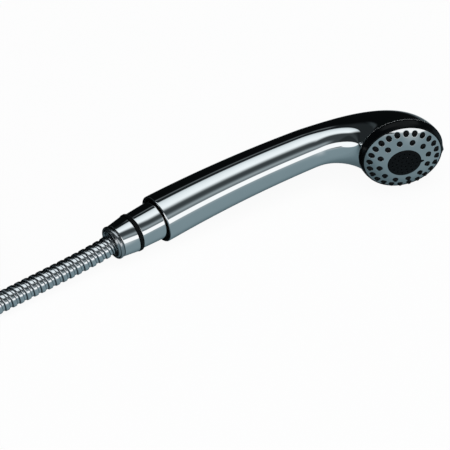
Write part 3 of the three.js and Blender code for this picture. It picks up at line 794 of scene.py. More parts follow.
@dataclass
class Hose:
    """The metal hose: an interlocked steel spiral of a wide and a narrow rib.

    Attributes:
        length: its real length, in metres.
        diameter: over the wide ribs, in metres.
        pitch: from one wide rib to the next.
        wide: the wide rib's share of the pitch.
        groove, narrow: radii as shares of the full radius, of the grooves and the narrow rib.
        route: where the hose begins and its way to the coil, as (x, z).
        coil_x, coil_radius, turns: the winding.
        ramp: the share of a turn over which it climbs on to the turn below.
        end_z: the height of its far end.
        spacing: how far apart the centreline's points are.
        straight_points, turn_points: how many points the route and each turn are read at.
        around: how many steps it takes round.
        wide_rows, narrow_rows: where each rib's rows of points lie, as shares of its width.
        crisp: edges sharper than this many degrees stay crisp.
    """

    length: float = 1.47
    diameter: float = 0.014
    pitch: float = 0.00576
    wide: float = 0.62
    groove: float = 0.83
    narrow: float = 0.89
    route: tuple = ((-0.1122, 0.0133), (-0.119, 0.0121), (-0.129, 0.0110), (-0.141, 0.0102),
                    (-0.161, 0.0095), (-0.183, 0.0089), (-0.207, 0.0081), (-0.231, 0.0072))
    coil_x: float = -0.2515
    coil_radius: float = 0.07
    turns: int = 3
    ramp: float = 0.27
    end_z: float = 0.0562
    spacing: float = 0.002
    straight_points: int = 120
    turn_points: int = 360
    around: int = 24
    wide_rows: tuple = (0.0, 0.03, 0.1, 0.2, 0.275, 0.725, 0.8, 0.9, 0.97)
    narrow_rows: tuple = (0.0, 0.08, 0.3, 0.5, 0.7, 0.92)
    crisp: float = 60.0

    def centreline(self) -> Array:
        """The hose's route: a smooth curve down to the ground, then turns that climb on each other.

        In each turn the height stays, then rises by 3p^2 - 2p^3 over the ramp's share p.

        Returns:
            Points evenly apart, in metres.
        """
        y = HANDSET.origin[1]
        run = np.array([*self.route, (self.coil_x, self.diameter / 2)])
        x = np.linspace(run[0, 0], run[-1, 0], self.straight_points)[:-1]
        z = smooth_through(-x, -run[:, 0], run[:, 1])
        straight = np.stack([x, np.full_like(x, y), z], -1)
        turn = np.linspace(0, self.turns, self.turn_points * self.turns)
        angle = -np.pi / 2 - 2 * np.pi * turn
        whole = np.floor(np.minimum(turn, self.turns - 1e-9))
        part = np.clip((turn - whole - (1 - self.ramp)) / self.ramp, 0, 1)
        last = self.end_z - self.diameter * (self.turns - 0.5)
        rise = np.where(whole == self.turns - 1, last, self.diameter)
        height = self.diameter * (0.5 + whole) + rise * part * part * (3 - 2 * part)
        coil = np.stack([self.coil_x + self.coil_radius * np.cos(angle),
                         y + self.coil_radius + self.coil_radius * np.sin(angle), height], -1)
        line = np.concatenate([straight, coil])
        along = lengths_along(line)
        return read_along(np.linspace(0, along[-1], int(along[-1] / self.spacing) + 1), along, line)

    def across(self, phase: Array) -> tuple:
        """Finds places on the ribs.

        Args:
            phase: how many pitches along.

        Returns:
            Whether each is on a wide rib, and how far it is from its rib's crest, 1 at the edge.
        """
        share = np.mod(phase, 1.0)
        on_wide = share < self.wide
        p = np.where(on_wide, share / self.wide, (share - self.wide) / (1 - self.wide))
        return on_wide, np.abs(2 * p - 1)

    def profile(self, phase: Array) -> Array:
        """The radius at a share of the pitch: a wide rib, then a lower narrow one.

        Each rib is the root of 1 - e^6 over the distance e from its crest, so it is flat-topped,
        round-shouldered and meets the grooves steeply.

        Args:
            phase: how many pitches along.

        Returns:
            The radius in metres.
        """
        on_wide, edge = self.across(phase)
        bulge = np.sqrt(np.clip(1 - edge**6, 0, 1))
        top = np.where(on_wide, 1.0, self.narrow)
        return self.diameter / 2 * (self.groove + (top - self.groove) * bulge)

    def build(self) -> Object:
        """Makes the hose: the profile wound round the route, its ribs on one long helix.

        A point at phase p and step j round lies at pitch times (p + j / around) along the route
        and at angle 2 pi j / around about it, so that each row follows the ribs. At both ends the
        ribs sink to the grooves' radius over half a pitch.

        Returns:
            The hose.
        """
        line = self.centreline()
        along = lengths_along(line)
        total = along[-1]
        steps = np.concatenate([self.wide * np.array(self.wide_rows),
                                self.wide + (1 - self.wide) * np.array(self.narrow_rows)])
        j = np.arange(self.around + 1)[None, :]
        pitches = np.arange(-1, int(total / self.pitch) + 2)
        phase = (pitches[:, None] + steps[None, :]).reshape(-1, 1) + 0 * j
        place = np.clip(self.pitch * (phase + j / self.around), 0, total)
        fade = np.clip(np.minimum(place, total - place) / (0.5 * self.pitch), 0, 1)
        radius = self.groove * self.diameter / 2 * (1 - fade) + self.profile(phase) * fade
        ahead = unit(read_along(place, along, unit(np.gradient(line, axis=0))))
        side = unit(np.cross(np.array([0.0, 0.0, 1.0]), ahead))
        above = np.cross(ahead, side)
        angle = (2 * np.pi * j / self.around)[..., None]
        points = read_along(place, along, line) + radius[..., None] * (np.cos(angle) * side
                                                                       + np.sin(angle) * above)
        faces = grid_faces(*points.shape[:2], False, False).tolist()
        # groove_depth drives the painted shade in the hose's grooves.
        hose = new_object("hose", points, faces, self.crisp, self.across(phase)[1])
        close_ends(hose.data)
        return hose

    def dress(self, with_pieces: list) -> None:
        """Args:
            with_pieces: the fittings at its far end; not used.
        """
        hose = dress(self.build(), HOSE_STEEL, "hose", "metal_hose", "hose_tube", "hose_coil")


# ---------------------------------------------------------------- handle and bell


@dataclass
class HandleShell:
    """The plated handle and bell, one skin from the tail's shoulder to the head's lip, in mm.

    Attributes:
        wall: the skin's thickness.
        bend: the radius that the handle is bowed to.
        neck: how far along the handle turns into the bell.
        radii: the handle's radii at its tail, middle and neck.
        shoulder: how far the skin reaches back past the tail.
        drop, round: how deep and how long the tail's edge is rounded.
        mouth: the bore's radius at the tail.
        face: the middle of the spray face in the handle's frame.
        tilt: the spray's lean.
        lip_depth, lip_radius: how far the lip lies behind the face, and its radius.
        back_pull, front_pull: for each outline of the bell, how far it is pulled at the neck and
            at the lip, and how far it flares at the lip.
        waist, fullness: what the bell's half width has gained at its cubic's two inner points.
        ease: how far before the neck the rows come closer.
        eased_rows, eased_times: how many rows each side of the neck are eased, and how often.
        edge: how far the lip's edge is eased.
        tail_rows, handle_rows, neck_rows, bell_rows, lip_rows: rows of points on the outside.
        bell_end: the share of the bell's outline at which the lip's own rows take over.
        inner_rows: rows of points inside the handle and inside the bell.
        around: how many steps it takes round.
    """

    wall: float = 1.8
    bend: float = 783.0
    neck: float = 115.0
    radii: tuple = (16.5, 15.1, 13.75)
    shoulder: float = 2.95
    drop: float = 0.45
    round: float = 0.7
    mouth: float = 15.7
    face: tuple = (159.0, -53.1)
    tilt: float = math.radians(22.3)
    lip_depth: float = 6.4
    lip_radius: float = 28.2
    back_pull: tuple = (11.8, 48.3, 0.3)
    front_pull: tuple = (10.9, 3.0, 1.2)
    waist: float = -0.21
    fullness: float = 0.33
    ease: float = 15.0
    eased_rows: int = 40
    eased_times: int = 130
    edge: float = 0.08
    tail_rows: int = 8
    handle_rows: int = 50
    neck_rows: int = 40
    bell_rows: int = 90
    lip_rows: int = 7
    bell_end: float = 0.985
    inner_rows: tuple = (20, 24)
    around: int = 112

    @property
    def spray(self) -> Array:
        """The way that the water leaves, in the handle's bowed plane."""
        return np.array([-math.sin(self.tilt), -math.cos(self.tilt)])

    def radius(self, along: Array) -> Array:
        """The handle's radius, straight between tail, middle and neck, with a rounded tail edge.

        Args:
            along: how far along the handle.

        Returns:
            The radius, less drop times 1 - sqrt(1 - s^2) at share s of the rounding.
        """
        plain = np.interp(along, [0, self.neck / 2, self.neck], self.radii)
        share = np.clip(1 - (along + self.shoulder) / self.round, 0, 1)
        return plain - self.drop * (1 - np.sqrt(1 - share**2))

    def handle_sections(self, along: Array) -> tuple:
        """Round sections across the bowed handle, straight behind its tail.

        Args:
            along: how far along the handle each section lies.

        Returns:
            The sections' back points, front points and half widths.
        """
        angle = np.maximum(along, 0) / self.bend
        centre = np.stack([self.bend * np.sin(angle) + np.minimum(along, 0),
                           -self.bend * (1 - np.cos(angle))], -1)
        backwards = np.stack([np.sin(angle), np.cos(angle)], -1)
        radius = self.radius(along)[:, None]
        return centre + backwards * radius, centre - backwards * radius, radius[:, 0]

    def bell_sections(self, share: Array) -> tuple:
        """Sections of the bell between its back and front outlines, each a cubic curve.

        Args:
            share: the share of the way from the neck to the lip.

        Returns:
            The sections' back points, front points and half widths.
        """
        far = np.array([math.cos(self.tilt), -math.sin(self.tilt)])
        lip = np.array(self.face) - self.lip_depth * self.spray
        back, front, width = self.handle_sections(np.array([self.neck]))
        bent = self.neck / self.bend
        onward = np.array([math.cos(bent), -math.sin(bent)])

        def outline(start: Array, end: Array, pulls: tuple) -> Array:
            """The cubic curve from the neck to the lip: pulled onward, then along the spray.

            Args:
                start: its point at the neck.
                end: its point at the lip.
                pulls: how far it is pulled at the neck and at the lip, and its flare.

            Returns:
                A point for each share.
            """
            leave, arrive, flare = pulls
            turn = np.array([[math.cos(flare), -math.sin(flare)], [math.sin(flare), math.cos(flare)]])
            a, b, c, d = start, start + leave * onward, end - arrive * (turn @ self.spray), end
            t = share[:, None]
            return (1 - t)**3 * a + 3 * (1 - t)**2 * t * b + 3 * (1 - t) * t**2 * c + t**3 * d

        widening = (3 * (1 - share)**2 * share * self.waist
                    + 3 * (1 - share) * share**2 * self.fullness + share**3)
        return (outline(back[0], lip + self.lip_radius * far, self.back_pull),
                outline(front[0], lip - self.lip_radius * far, self.front_pull),
                width[0] + (self.lip_radius - width[0]) * widening)

    @staticmethod
    def joined(*parts: tuple) -> tuple:
        """Lists of sections, one after the other."""
        return tuple(np.concatenate([p[k] for p in parts]) for k in range(3))

    @staticmethod
    def drawn_in(sections: tuple, depth: Array) -> tuple:
        """Sections made smaller all round.

        Args:
            sections: back points, front points and half widths.
            depth: how much smaller each becomes.

        Returns:
            The smaller sections.
        """
        back, front, width = sections
        inwards = unit(front - back) * depth[:, None]
        return back + inwards, front - inwards, width - depth

    def eased(self, sections: tuple, middle: int) -> tuple:
        """Sections eased where the handle meets the bell, so that no light line breaks there.

        Each value moves to the mean of itself and its neighbours, many times over, by a share
        that falls smoothly from 1 at the middle row to 0 at the last eased row.

        Args:
            sections: back points, front points and half widths.
            middle: the row at which the handle ends.

        Returns:
            The eased sections.
        """
        row = np.arange(len(sections[2]))[1:-1]
        near = np.clip(1 - np.abs(row - middle) / self.eased_rows, 0, 1)
        share = near ** 2 * (3 - 2 * near)
        eased = []
        for values in sections:
            values = values.copy()
            weight = share.reshape(-1, *[1] * (values.ndim - 1))
            for _ in range(self.eased_times):
                mean = (values[:-2] + 2 * values[1:-1] + values[2:]) / 4
                values[1:-1] += weight * (mean - values[1:-1])
            eased.append(values)
        return tuple(eased)

    def swept(self, sections: tuple) -> Array:
        """Each section's points: its middle plus cosine of its depth and sine of its width.

        Args:
            sections: back points, front points and half widths.

        Returns:
            Sections by steps round by 3, in the handle's frame.
        """
        back, front, width = sections
        angle = full_turn(self.around)[None, :]
        middle, reach = (back + front) / 2, (back - front) / 2
        flat = middle[:, None] + np.cos(angle)[..., None] * reach[:, None]
        return np.concatenate([flat, (width[:, None] * np.sin(angle))[..., None]], -1)

    def lip(self) -> tuple:
        """The lip's edge, which follows a quarter of a circle inwards and over.

        Returns:
            Sections as back points, front points and half widths.
        """
        turn = np.linspace(0, np.pi / 2, self.lip_rows)
        end = tuple(np.repeat(values, self.lip_rows, 0) for values in self.bell_sections(np.ones(1)))
        back, front, width = self.drawn_in(end, self.edge * (1 - np.cos(turn)))
        move = (-self.edge * (1 - np.sin(turn)))[:, None] * self.spray
        return back + move, front + move, width

    def build(self) -> Object:
        """Makes the skin: the outer sections, the lip, the same drawn in by the wall, the bore.

        Returns:
            The handle and bell.
        """
        quarter = np.linspace(0, np.pi / 2, self.tail_rows)
        along = np.concatenate([
            self.round * (1 - np.cos(quarter)) - self.shoulder,
            np.linspace(0, self.neck - self.ease, self.handle_rows)[1:],
            np.linspace(self.neck - self.ease, self.neck, self.neck_rows)[1:]])
        bell = self.bell_sections(np.linspace(0, self.bell_end, self.bell_rows)[1:])
        outer = self.eased(self.joined(self.handle_sections(along), bell), len(along))
        handle_rows, bell_rows = self.inner_rows
        inner = self.joined(self.handle_sections(np.linspace(0, self.neck, handle_rows)),
                            self.bell_sections(np.linspace(0, 1, bell_rows)[1:]))
        inner = self.drawn_in(inner, np.full(len(inner[2]), self.wall))
        bore = self.handle_sections(np.array([0.0, -self.shoulder]))
        bore = self.drawn_in(bore, bore[2] - self.mouth)
        sections = self.joined(outer, self.lip(), tuple(values[::-1] for values in inner), bore)
        return surface("handle_and_bell", HANDSET.world(self.swept(sections)), wrap_rows=True)

    def dress(self) -> None:
        """Makes and dresses the shell."""
        dress(self.build(), CHROME, "handset", "chrome_plastic", "handle_shell")


# ---------------------------------------------------------------- cone between hose and handle


@dataclass
class Cone:
    """The turned pieces of the swivel cone, each a closed section of [radius, along] in mm.

    Attributes:
        cap: the hose-side half.
        end_ring: the rolled ring round the hose.
        ring: the black ring between the halves.
        nut: the handle-side half.
        bush: the black ring in the handle's mouth.
        ferrule: the crimped sleeve on the hose's end.
    """

    cap: tuple = ((9.4, -35.7), (11.35, -35.7), (12.95, -24.6), (10.4, -24.6), (10.4, -33.5),
                  (8.2, -33.5), (8.2, -34.3), (9.4, -34.3))
    end_ring: tuple = ((8.3, -39.2), (8.6, -39.8), (9.2, -40.0), (9.8, -39.8), (10.15, -39.2),
                       (10.4, -38.8), (10.9, -39.1), (11.4, -38.9), (11.7, -38.4), (11.75, -37.7),
                       (11.55, -36.9), (11.1, -36.0), (9.1, -36.0), (9.1, -34.6), (8.3, -34.6))
    ring: tuple = ((10.1, -24.3), (13.1, -24.3), (13.4, -23.9), (13.4, -22.0), (13.1, -21.6),
                   (10.1, -21.6))
    nut: tuple = ((6.6, -29.1), (9.8, -29.1), (9.8, -21.3), (12.55, -21.3), (13.4, -3.4),
                  (10.6, -3.4), (10.6, -17.0), (9.3, -17.0), (9.3, -19.2), (5.0, -19.2),
                  (5.0, -24.0), (6.6, -24.0))
    bush: tuple = ((10.6, -2.6), (13.4, -2.6), (15.0, -2.6), (15.6, -2.2), (15.6, 0.0), (10.6, 0.0))
    ferrule: tuple = ((6.1, -38.0), (7.9, -38.0), (7.9, -33.8), (10.1, -33.2), (10.1, -30.9),
                      (5.0, -30.9), (5.0, -33.5), (6.1, -33.5))

    def dress(self) -> None:
        """Makes and dresses the cone's visible pieces."""
        dress_turned(STEM, (
            ("hose_side_cone", self.cap, 0.45, 6, 128, CHROME, "hose", "chrome_brass", "swivel_cap"),
            ("cone_end_ring", self.end_ring, 0.35, 5, 128, DARK_CHROME, "hose", "dark_plating",
             "cap_end_ring"),
            ("cone_band", self.ring, 0.35, 6, 128, SATIN_BLACK, "handset", "black_rubber", "swivel_ring"),
            ("handle_side_cone", self.nut, 0.3, 6, 128, CHROME, "handset", "chrome_brass", "cone_nut"),
            ("tail_band", self.bush, 0.3, 4, 128, GLOSS_BLACK, "handset", "black_plastic", "tail_bush"),
            ("hose_end_sleeve", self.ferrule, 0.3, 4, 96, STEEL, "hose", "steel", "hose_ferrule"),
        ))


# ---------------------------------------------------------------- spray face


@dataclass(frozen=True)
class HoleRing:
    """A ring of round holes, in mm.

    Attributes:
        count: how many holes there are.
        middle: the radius of their centres.
        low, high: the radii of the band that they pierce.
        phase: the first hole's angle.
    """

    count: int
    middle: float
    low: float
    high: float
    phase: float = 0.0


@dataclass(frozen=True)
class PiercedSheet:
    """A domed sheet with rings of round holes, in mm.

    Attributes:
        rings: its rings of holes, from the inside out.
        hole: the holes' radius.
        edge: how far the holes' edges are eased.
        depth: its thickness.
        steps: how many steps a ring's cells together take round.
        lift: how far its top stands over the dome.
        under: the underside's greatest radius.
        side_steps: how many steps a cell's sides take.
        top_rows, edge_rows, under_rows: rows of points on a cell's top, on its hole's edge and
            from its hole's wall outwards below.
    """

    rings: tuple
    hole: float
    edge: float
    depth: float
    steps: int
    lift: float
    under: float
    side_steps: int = 6
    top_rows: int = 5
    edge_rows: int = 4
    under_rows: int = 3


@dataclass
class SprayFace:
    """The domed plate with its nozzles, and the disc in its middle, in mm.

    Attributes:
        rise, crown: the dome's height in the middle, and how much of it falls as a square.
        face_radius, inner_radius: the plate's outer and inner radii.
        skirt: the radius and height of the inside of its rolled rim.
        turn: how far the face is turned, to where the pointer stands.
        plate, disc: the pierced plate and the pierced disc in its middle.
        mat, mat_gap, mat_radii: the rubber mat's thickness, its gap to the plate, and its radii.
        mat_rows, mat_segments: how many rows of points it has each side, and its steps round.
        nozzle: a nozzle's outline as [radius, height] over the dome.
        nozzle_segments: how many steps a nozzle takes round.
        centre: the disc's radius.
        disc_edge: how far from its rim the disc's top starts to fall, and where its side begins.
        disc_side: how far over and under the dome the side's eased edge reaches.
        disc_foot: the height of the foot of the disc's side.
        hub_rise: how far the disc's middle point stands up.
    """

    rise: float = 6.7
    crown: float = 4.2
    face_radius: float = 26.1
    inner_radius: float = 11.5
    skirt: tuple = (25.0, -1.8)
    turn: float = math.radians(-7.5)
    plate: PiercedSheet = PiercedSheet(
        (HoleRing(12, 16.9, 11.5, 19.85, math.pi / 12), HoleRing(24, 22.9, 19.85, 26.1)),
        hole=1.98, edge=0.16, depth=1.6, steps=192, lift=0.0, under=25.0)
    disc: PiercedSheet = PiercedSheet(
        (HoleRing(5, 2.6, 1.1, 4.1), HoleRing(10, 5.6, 4.1, 7.1), HoleRing(15, 8.5, 7.1, 9.95)),
        hole=0.52, edge=0.08, depth=0.9, steps=60, lift=0.35, under=99.0)
    mat: float = 1.2
    mat_gap: float = 0.3
    mat_radii: tuple = (12.9, 24.7)
    mat_rows: int = 8
    mat_segments: int = 96
    nozzle: tuple = ((1.68, -2.2), (1.68, -0.2), (1.6, 0.3), (1.42, 0.75), (1.27, 0.95), (1.05, 1.0),
                     (0.72, 0.97), (0.58, 0.8), (0.55, 0.3), (0.55, -2.0))
    nozzle_segments: int = 20
    centre: float = 11.1
    disc_edge: tuple = (0.7, 0.25)
    disc_side: float = 0.2
    disc_foot: float = 1.5
    hub_rise: float = 0.01

    def dome(self, radius: Array | float) -> Array | float:
        """The dome's height: its rise less a square and a fourth power of the radius's share."""
        share = (radius / self.face_radius)**2
        return self.rise - self.crown * share - (self.rise - self.crown) * share**2

    @property
    def place(self) -> Place:
        """The head's frame turned to where the pointer stands."""
        c, s = math.cos(self.turn), math.sin(self.turn)
        return Place(HEAD.origin, c * HEAD.x + s * HEAD.y, c * HEAD.y - s * HEAD.x, HEAD.z)

    def cells(self, sheet: PiercedSheet, ring: HoleRing) -> Array:
        """Pierced cells that fill a ring between its two radii, one round hole in each.

        A cell's rim runs along its inner arc, out, back along its outer arc and in. Its points
        slide straight from the rim to the hole's edge, ease over it, go down its wall, and out
        again under the sheet. Every point's height is that of the sheet's top less its depth.

        Args:
            sheet: the sheet.
            ring: its ring of holes.

        Returns:
            An array of cells by rows by columns by 3.
        """
        arc, side, half = sheet.steps // ring.count, sheet.side_steps, math.pi / ring.count
        a = np.concatenate([np.linspace(-half, half, arc, endpoint=False), np.full(side, half),
                            np.linspace(half, -half, arc, endpoint=False), np.full(side, -half)])
        out_and_in = np.linspace(ring.low, ring.high, side, endpoint=False)
        in_again = np.linspace(ring.high, ring.low, side, endpoint=False)
        r = np.concatenate([np.full(arc, ring.low), out_and_in, np.full(arc, ring.high), in_again])
        rim, rim_under = (np.stack([radius * np.cos(a), radius * np.sin(a)], -1)
                          for radius in (r, np.minimum(r, sheet.under)))
        centre = np.array([ring.middle, 0.0])
        out = unit(rim - centre)
        slide = np.linspace(0, 1, sheet.top_rows, endpoint=False)[:, None, None]
        ease = np.linspace(0, np.pi / 2, sheet.edge_rows)
        down = np.linspace(0, 1, sheet.under_rows)[:, None, None]
        flat = np.concatenate([
            rim * (1 - slide) + (centre + out * (sheet.hole + sheet.edge)) * slide,
            centre + out * (sheet.hole + sheet.edge * (1 - np.sin(ease)))[:, None, None],
            (centre + out * sheet.hole) * (1 - down) + rim_under * down])
        depth = np.concatenate([np.zeros(len(slide)), sheet.edge * (1 - np.cos(ease)),
                                np.full(len(down), sheet.depth)])
        z = self.dome(np.linalg.norm(flat, axis=-1)) + sheet.lift - depth[:, None]
        angle = ring.phase + 2 * np.pi * np.arange(ring.count)[:, None, None] / ring.count
        x = flat[..., 0] * np.cos(angle) - flat[..., 1] * np.sin(angle)
        y = flat[..., 0] * np.sin(angle) + flat[..., 1] * np.cos(angle)
        return np.stack([x, y, z + 0 * x], -1)

    def pierced(self, sheet: PiercedSheet, outlines: tuple, name: str) -> Object:
        """Makes a pierced sheet: its rings of cells, and the turned bands that close it.

        Args:
            sheet: the sheet.
            outlines: each band's [radius, height] points, and the ring of holes that it meets.
            name: the piece's name.

        Returns:
            The new object.
        """
        patches = Patches()
        for ring in sheet.rings:
            patches.add(self.cells(sheet, ring))
        for outline, ring in outlines:
            angle = full_turn(sheet.steps, ring.phase - math.pi / ring.count)
            patches.add(spun(np.array(outline), angle))
        return patches.made(name, self.place)

    def faceplate(self) -> Object:
        """Makes the pierced dome with its rolled rim and its bore.

        Returns:
            The plate.
        """
        outer, inner, thick = self.face_radius, self.inner_radius, self.plate.depth
        skirt, foot = self.skirt
        rim = ((outer, self.dome(outer)), (outer, foot), (skirt, foot), (skirt, self.dome(skirt) - thick))
        bore = ((inner, self.dome(inner)), (inner, self.dome(inner) - thick))
        ring = self.plate.rings[-1]
        return self.pierced(self.plate, ((rim, ring), (bore, ring)), "spray_plate")

    def centre_disc(self) -> Object:
        """Makes the disc in the middle, with its fine holes and eased edge.

        Returns:
            The disc.
        """
        def top(radius: float) -> float:
            """The disc's height: a little over the dome."""
            return self.dome(radius) + self.disc.lift

        first, last = self.disc.rings[0], self.disc.rings[-1]
        fall, side = (self.centre - inwards for inwards in self.disc_edge)
        level, thick, hub = self.dome(self.centre), self.disc.depth, top(first.low)
        skirt = ((last.high, top(last.high)), (fall, top(fall)), (side, level + self.disc_side),
                 (self.centre, level - self.disc_side), (self.centre, self.disc_foot),
                 (last.high, self.disc_foot), (last.high, top(last.high) - thick))
        over = ((first.low, hub), (0.0, hub + self.hub_rise))
        under = ((first.low, hub - thick), (0.0, hub - thick))
        return self.pierced(self.disc, ((skirt, last), (over, first), (under, first)), "centre_disc")

    def nozzles(self) -> Object:
        """Makes the rubber mat and its nozzles, each a turned cone with a dished tip.

        Returns:
            The mat with its nozzles.
        """
        top = self.plate.depth + self.mat_gap
        radius = np.linspace(*self.mat_radii, self.mat_rows)
        under = np.stack([radius, self.dome(radius) - top - self.mat], -1)
        over = np.stack([radius[::-1], self.dome(radius[::-1]) - top], -1)
        patches = Patches()
        patches.add(spun(np.concatenate([under, over]), full_turn(self.mat_segments)), wrap_rows=True)
        shape = spun(np.array(self.nozzle), full_turn(self.nozzle_segments))
        for ring in self.plate.rings:
            angle = ring.phase + 2 * np.pi * np.arange(ring.count) / ring.count
            middle = np.stack([ring.middle * np.cos(angle), ring.middle * np.sin(angle),
                               self.dome(ring.middle) + 0 * angle], -1)
            patches.add(shape + middle[:, None, None], wrap_rows=True)
        return patches.made("nozzles", self.place)

    def dress(self) -> None:
        """Makes and dresses the face's pieces."""
        dress(self.faceplate(), FACE_CHROME, "spray_face", "chrome_plastic", "faceplate")
        dress(self.nozzles(), RUBBER, "spray_face", "black_rubber", "nozzle_mat")
        dress(GripRing().build(self.place), GLOSS_BLACK, "spray_face", "black_plastic", "bezel_ring")
        dress(self.centre_disc(), DISC_BLACK, "handset", "black_plastic", "centre_plate")
        dress(Pointer().build(self), SATIN_BLACK, "handset", "black_plastic")


@dataclass
class GripRing:
    """The grip ring with its pointed lug, in mm.

    Attributes:
        section: its [radius, height] corners.
        easing, corner_steps, segments: how far its corners are eased, in how many points, and
            how many steps it takes round.
        lug, half_angle: how far the lug stands out, and half the angle that it takes up.
        middle, reach, power: the height of its middle, how far up and down it reaches, and the
            power by which it falls off there.
        inside: the radius outside which it is raised.
    """

    section: tuple = ((24.9, -6.1), (28.3, -6.1), (28.6, -5.0), (27.9, -2.4), (27.0, -0.3),
                      (26.4, 0.1), (26.4, -2.1), (24.9, -2.1))
    easing: float = 0.5
    corner_steps: int = 6
    segments: int = 240
    lug: float = 0.95
    half_angle: float = 0.085
    middle: float = -3.2
    reach: float = 2.4
    power: float = 0.6
    inside: float = 26.8

    def build(self, place: Place) -> Object:
        """Makes the ring: its section turned, with the lug raised at its far end.

        The lug adds its size times (1 - |angle| / half angle) times a power of
        (1 - |height - middle| / reach) to the radius.

        Args:
            place: the face's frame.

        Returns:
            The grip ring.
        """
        outline = rounded(self.section, self.easing, self.corner_steps)
        points = spun(outline, full_turn(self.segments))
        angle = np.arctan2(points[..., 1], points[..., 0])
        tall = np.clip(1 - np.abs(points[..., 2] - self.middle) / self.reach, 0, 1)
        lug = self.lug * np.clip(1 - np.abs(angle) / self.half_angle, 0, 1) * tall**self.power
        radius = np.linalg.norm(points[..., :2], axis=-1, keepdims=True)
        points[..., :2] += points[..., :2] / radius * (lug * (radius[..., 0] > self.inside))[..., None]
        return surface("grip_ring", place.world(points), wrap_rows=True)


@dataclass
class Pointer:
    """The small pointer on the disc's edge, a wedge that tapers to its tip, in mm.

    Attributes:
        start, length: how far from the middle it starts, and how long it is.
        half, tip, power: its half width, what is left of that at the tip, and the power of the
            taper between them.
        tall, fall: its thickness, and the share of it that is lost at the tip.
        seat: how far its foot stands over the dome.
        top: its top's width as a share of its foot's.
        rows: how many rows of points it has.
    """

    start: float = 10.6
    length: float = 3.0
    half: float = 1.25
    tip: float = 0.08
    power: float = 0.8
    tall: float = 0.5
    fall: float = 0.5
    seat: float = 0.12
    top: float = 0.7
    rows: int = 8

    def build(self, face: SprayFace) -> Object:
        """Makes the pointer: four corners carried along its length.

        Args:
            face: the spray face whose dome it lies on.

        Returns:
            The pointer.
        """
        t = np.linspace(0, 1, self.rows)
        half = self.half * (1 - t) ** self.power + self.tip
        x = self.start + self.length * t
        low = face.dome(x) + self.seat
        high = low + self.tall * (1 - self.fall * t)
        corners = ((-half, low), (half, low), (self.top * half, high), (-self.top * half, high))
        section = np.stack([np.stack([x, y, z], -1) for y, z in corners], 1)
        return surface("pointer", face.place.world(section), capped=True)


# ---------------------------------------------------------------- far end of the hose


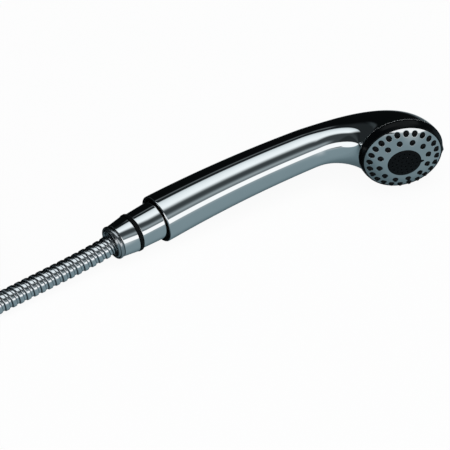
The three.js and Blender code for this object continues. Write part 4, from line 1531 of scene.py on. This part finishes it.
@dataclass
class FarEnd:
    """The union at the hose's far end, along its own axis in mm.

    Attributes:
        flats: the nut's size over its flats.
        corner_radius: the most radius at its corners.
        chamfer, chamfer_slope: how far in from the flats the end cones start, and their slope.
        end_rows: how far from its ends the rows of points on the chamfers lie.
        side_rows, side_margin: how many rows lie between, and how far from the ends.
        segments, thread_rows: how many steps it takes round, and the rows down the bore.
        back, front: the heights of its two ends.
        bore, thread_end, thread_pitch, thread_depth: the bore's radius and the height of its
            inner end, and the thread's pitch and depth.
        fade_out, fade_in: over what height the thread fades at the mouth, and from what height
            and over what height at the inner end.
        seat: [radius, height] points inside, from the bore's inner end to the back.
        crimps, stem, washer: the sections of the sleeve, the stem and the washer.
    """

    flats: float = 25.0
    corner_radius: float = 13.9
    chamfer: float = 0.5
    chamfer_slope: float = 1.3
    end_rows: tuple = (0.0, 0.25, 0.8, 1.6)
    side_rows: int = 5
    side_margin: float = 4.0
    segments: int = 144
    thread_rows: int = 84
    back: float = 14.3
    front: float = 31.0
    bore: float = 10.6
    thread_end: float = 20.0
    thread_pitch: float = 1.814
    thread_depth: float = 0.45
    fade_out: float = 1.2
    fade_in: tuple = (20.6, 0.8)
    seat: tuple = ((9.3, 20.0), (9.3, 17.7), (5.3, 17.7), (5.3, 14.3))
    crimps: tuple = ((6.1, 0.3), (7.6, 0.0), (7.9, 0.4), (7.9, 3.0), (7.6, 3.4), (7.6, 4.2),
                     (7.9, 4.6), (7.9, 7.0), (7.6, 7.4), (7.6, 8.2), (7.9, 8.6), (7.9, 13.6),
                     (7.6, 14.0), (5.0, 14.0), (5.0, 12.0), (6.1, 12.0))
    stem: tuple = ((3.2, 3.0), (4.6, 3.0), (4.6, 17.5), (9.0, 17.5), (9.0, 19.2), (3.2, 19.2))
    washer: tuple = ((5.2, 19.5), (9.1, 19.5), (9.1, 21.5), (5.2, 21.5))

    @property
    def place(self) -> Place:
        """The fittings' frame, from the nut's box: z away from the hose.

        Returns:
            The place, whose origin lies at the sleeve's end.
        """
        low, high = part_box("far_nut")
        middle = (np.array(low) + np.array(high)) / 2
        origin = np.array([high[0] + MM * self.back, middle[1], middle[2]])
        x, y, z = np.array([[0.0, 0.0, 1.0], [0.0, 1.0, 0.0], [-1.0, 0.0, 0.0]])
        return Place(origin, x, y, z)

    def nut(self) -> Object:
        """Makes the hexagon nut: flats eased at both ends, a threaded bore inside.

        Outside, the radius is the least of the hexagon's at that angle, a cone's at each end and
        the corner's. Inside, a sawtooth of the height less the angle raises the thread.

        Returns:
            The nut.
        """
        angle = full_turn(self.segments)
        hexagon = self.flats / 2 / np.cos(np.mod(angle, np.pi / 3) - np.pi / 6)
        ends = np.array(self.end_rows)
        sides = np.linspace(self.back + self.side_margin, self.front - self.side_margin, self.side_rows)
        height = np.concatenate([self.back + ends, sides, self.front - ends[::-1]])
        end = np.minimum(height - self.back, self.front - height)
        cone = self.flats / 2 - self.chamfer + self.chamfer_slope * end
        outer = np.minimum(np.minimum(hexagon[None, :], cone[:, None]), self.corner_radius)
        depth = np.linspace(self.front, self.thread_end, self.thread_rows)
        wave = np.mod(depth[:, None] / self.thread_pitch - angle / (2 * np.pi), 1.0)
        start, over = self.fade_in
        fade = np.clip((self.front - depth) / self.fade_out, 0, 1) * np.clip((depth - start) / over, 0, 1)
        inner = self.bore - self.thread_depth * fade[:, None] * (1 - np.abs(2 * wave - 1))
        seat = np.array(self.seat)
        radius = np.concatenate([outer, inner, seat[:, :1] + 0 * angle])
        z = np.concatenate([height, depth, seat[:, 1]])[:, None]
        points = np.stack([radius * np.cos(angle), radius * np.sin(angle), z + 0 * radius], -1)
        return surface("union_nut", self.place.world(points), wrap_rows=True)

    def dress(self) -> list:
        """Makes and dresses the fittings.

        Returns:
            The four pieces.
        """
        fittings = dress_turned(self.place, (
            ("far_sleeve", self.crimps, 0.2, 3, 96, STEEL, "hose", "steel", "far_ferrule"),
            ("far_tailpiece", self.stem, 0.2, 3, 96, BRASS, "hose", "brass", "far_stem"),
            ("far_seal", self.washer, 0.3, 4, 96, RUBBER, "hose", "black_rubber", "far_washer"),
        ))
        return [*fittings, dress(self.nut(), CHROME, "union_nut", "chrome_brass", "far_nut")]


# ---------------------------------------------------------------- the whole


def dress_hidden_nodes() -> None:
    """Gives the CAD nodes that stay, all inside, their finishes."""
    for finish, names in CAD_FINISHES.items():
        for name in names:
            node = frame["nodes"][name]
            node.data.materials.clear()
            node.data.materials.append(finish.material())


def main() -> None:
    """Builds the studio, the hose, the handset and the rest, in that order."""
    logging.basicConfig(level=logging.INFO, format="%(message)s")
    bpy.context.scene.view_settings.view_transform = "Standard"
    studio = Studio()
    studio.camera()
    Hose().dress(FarEnd().dress())
    HandleShell().dress()
    Cone().dress()
    SprayFace().dress()
    dress_hidden_nodes()
    studio.floor()
    studio.key_light()
    studio.surroundings()


if __name__ == "__main__":
    main()
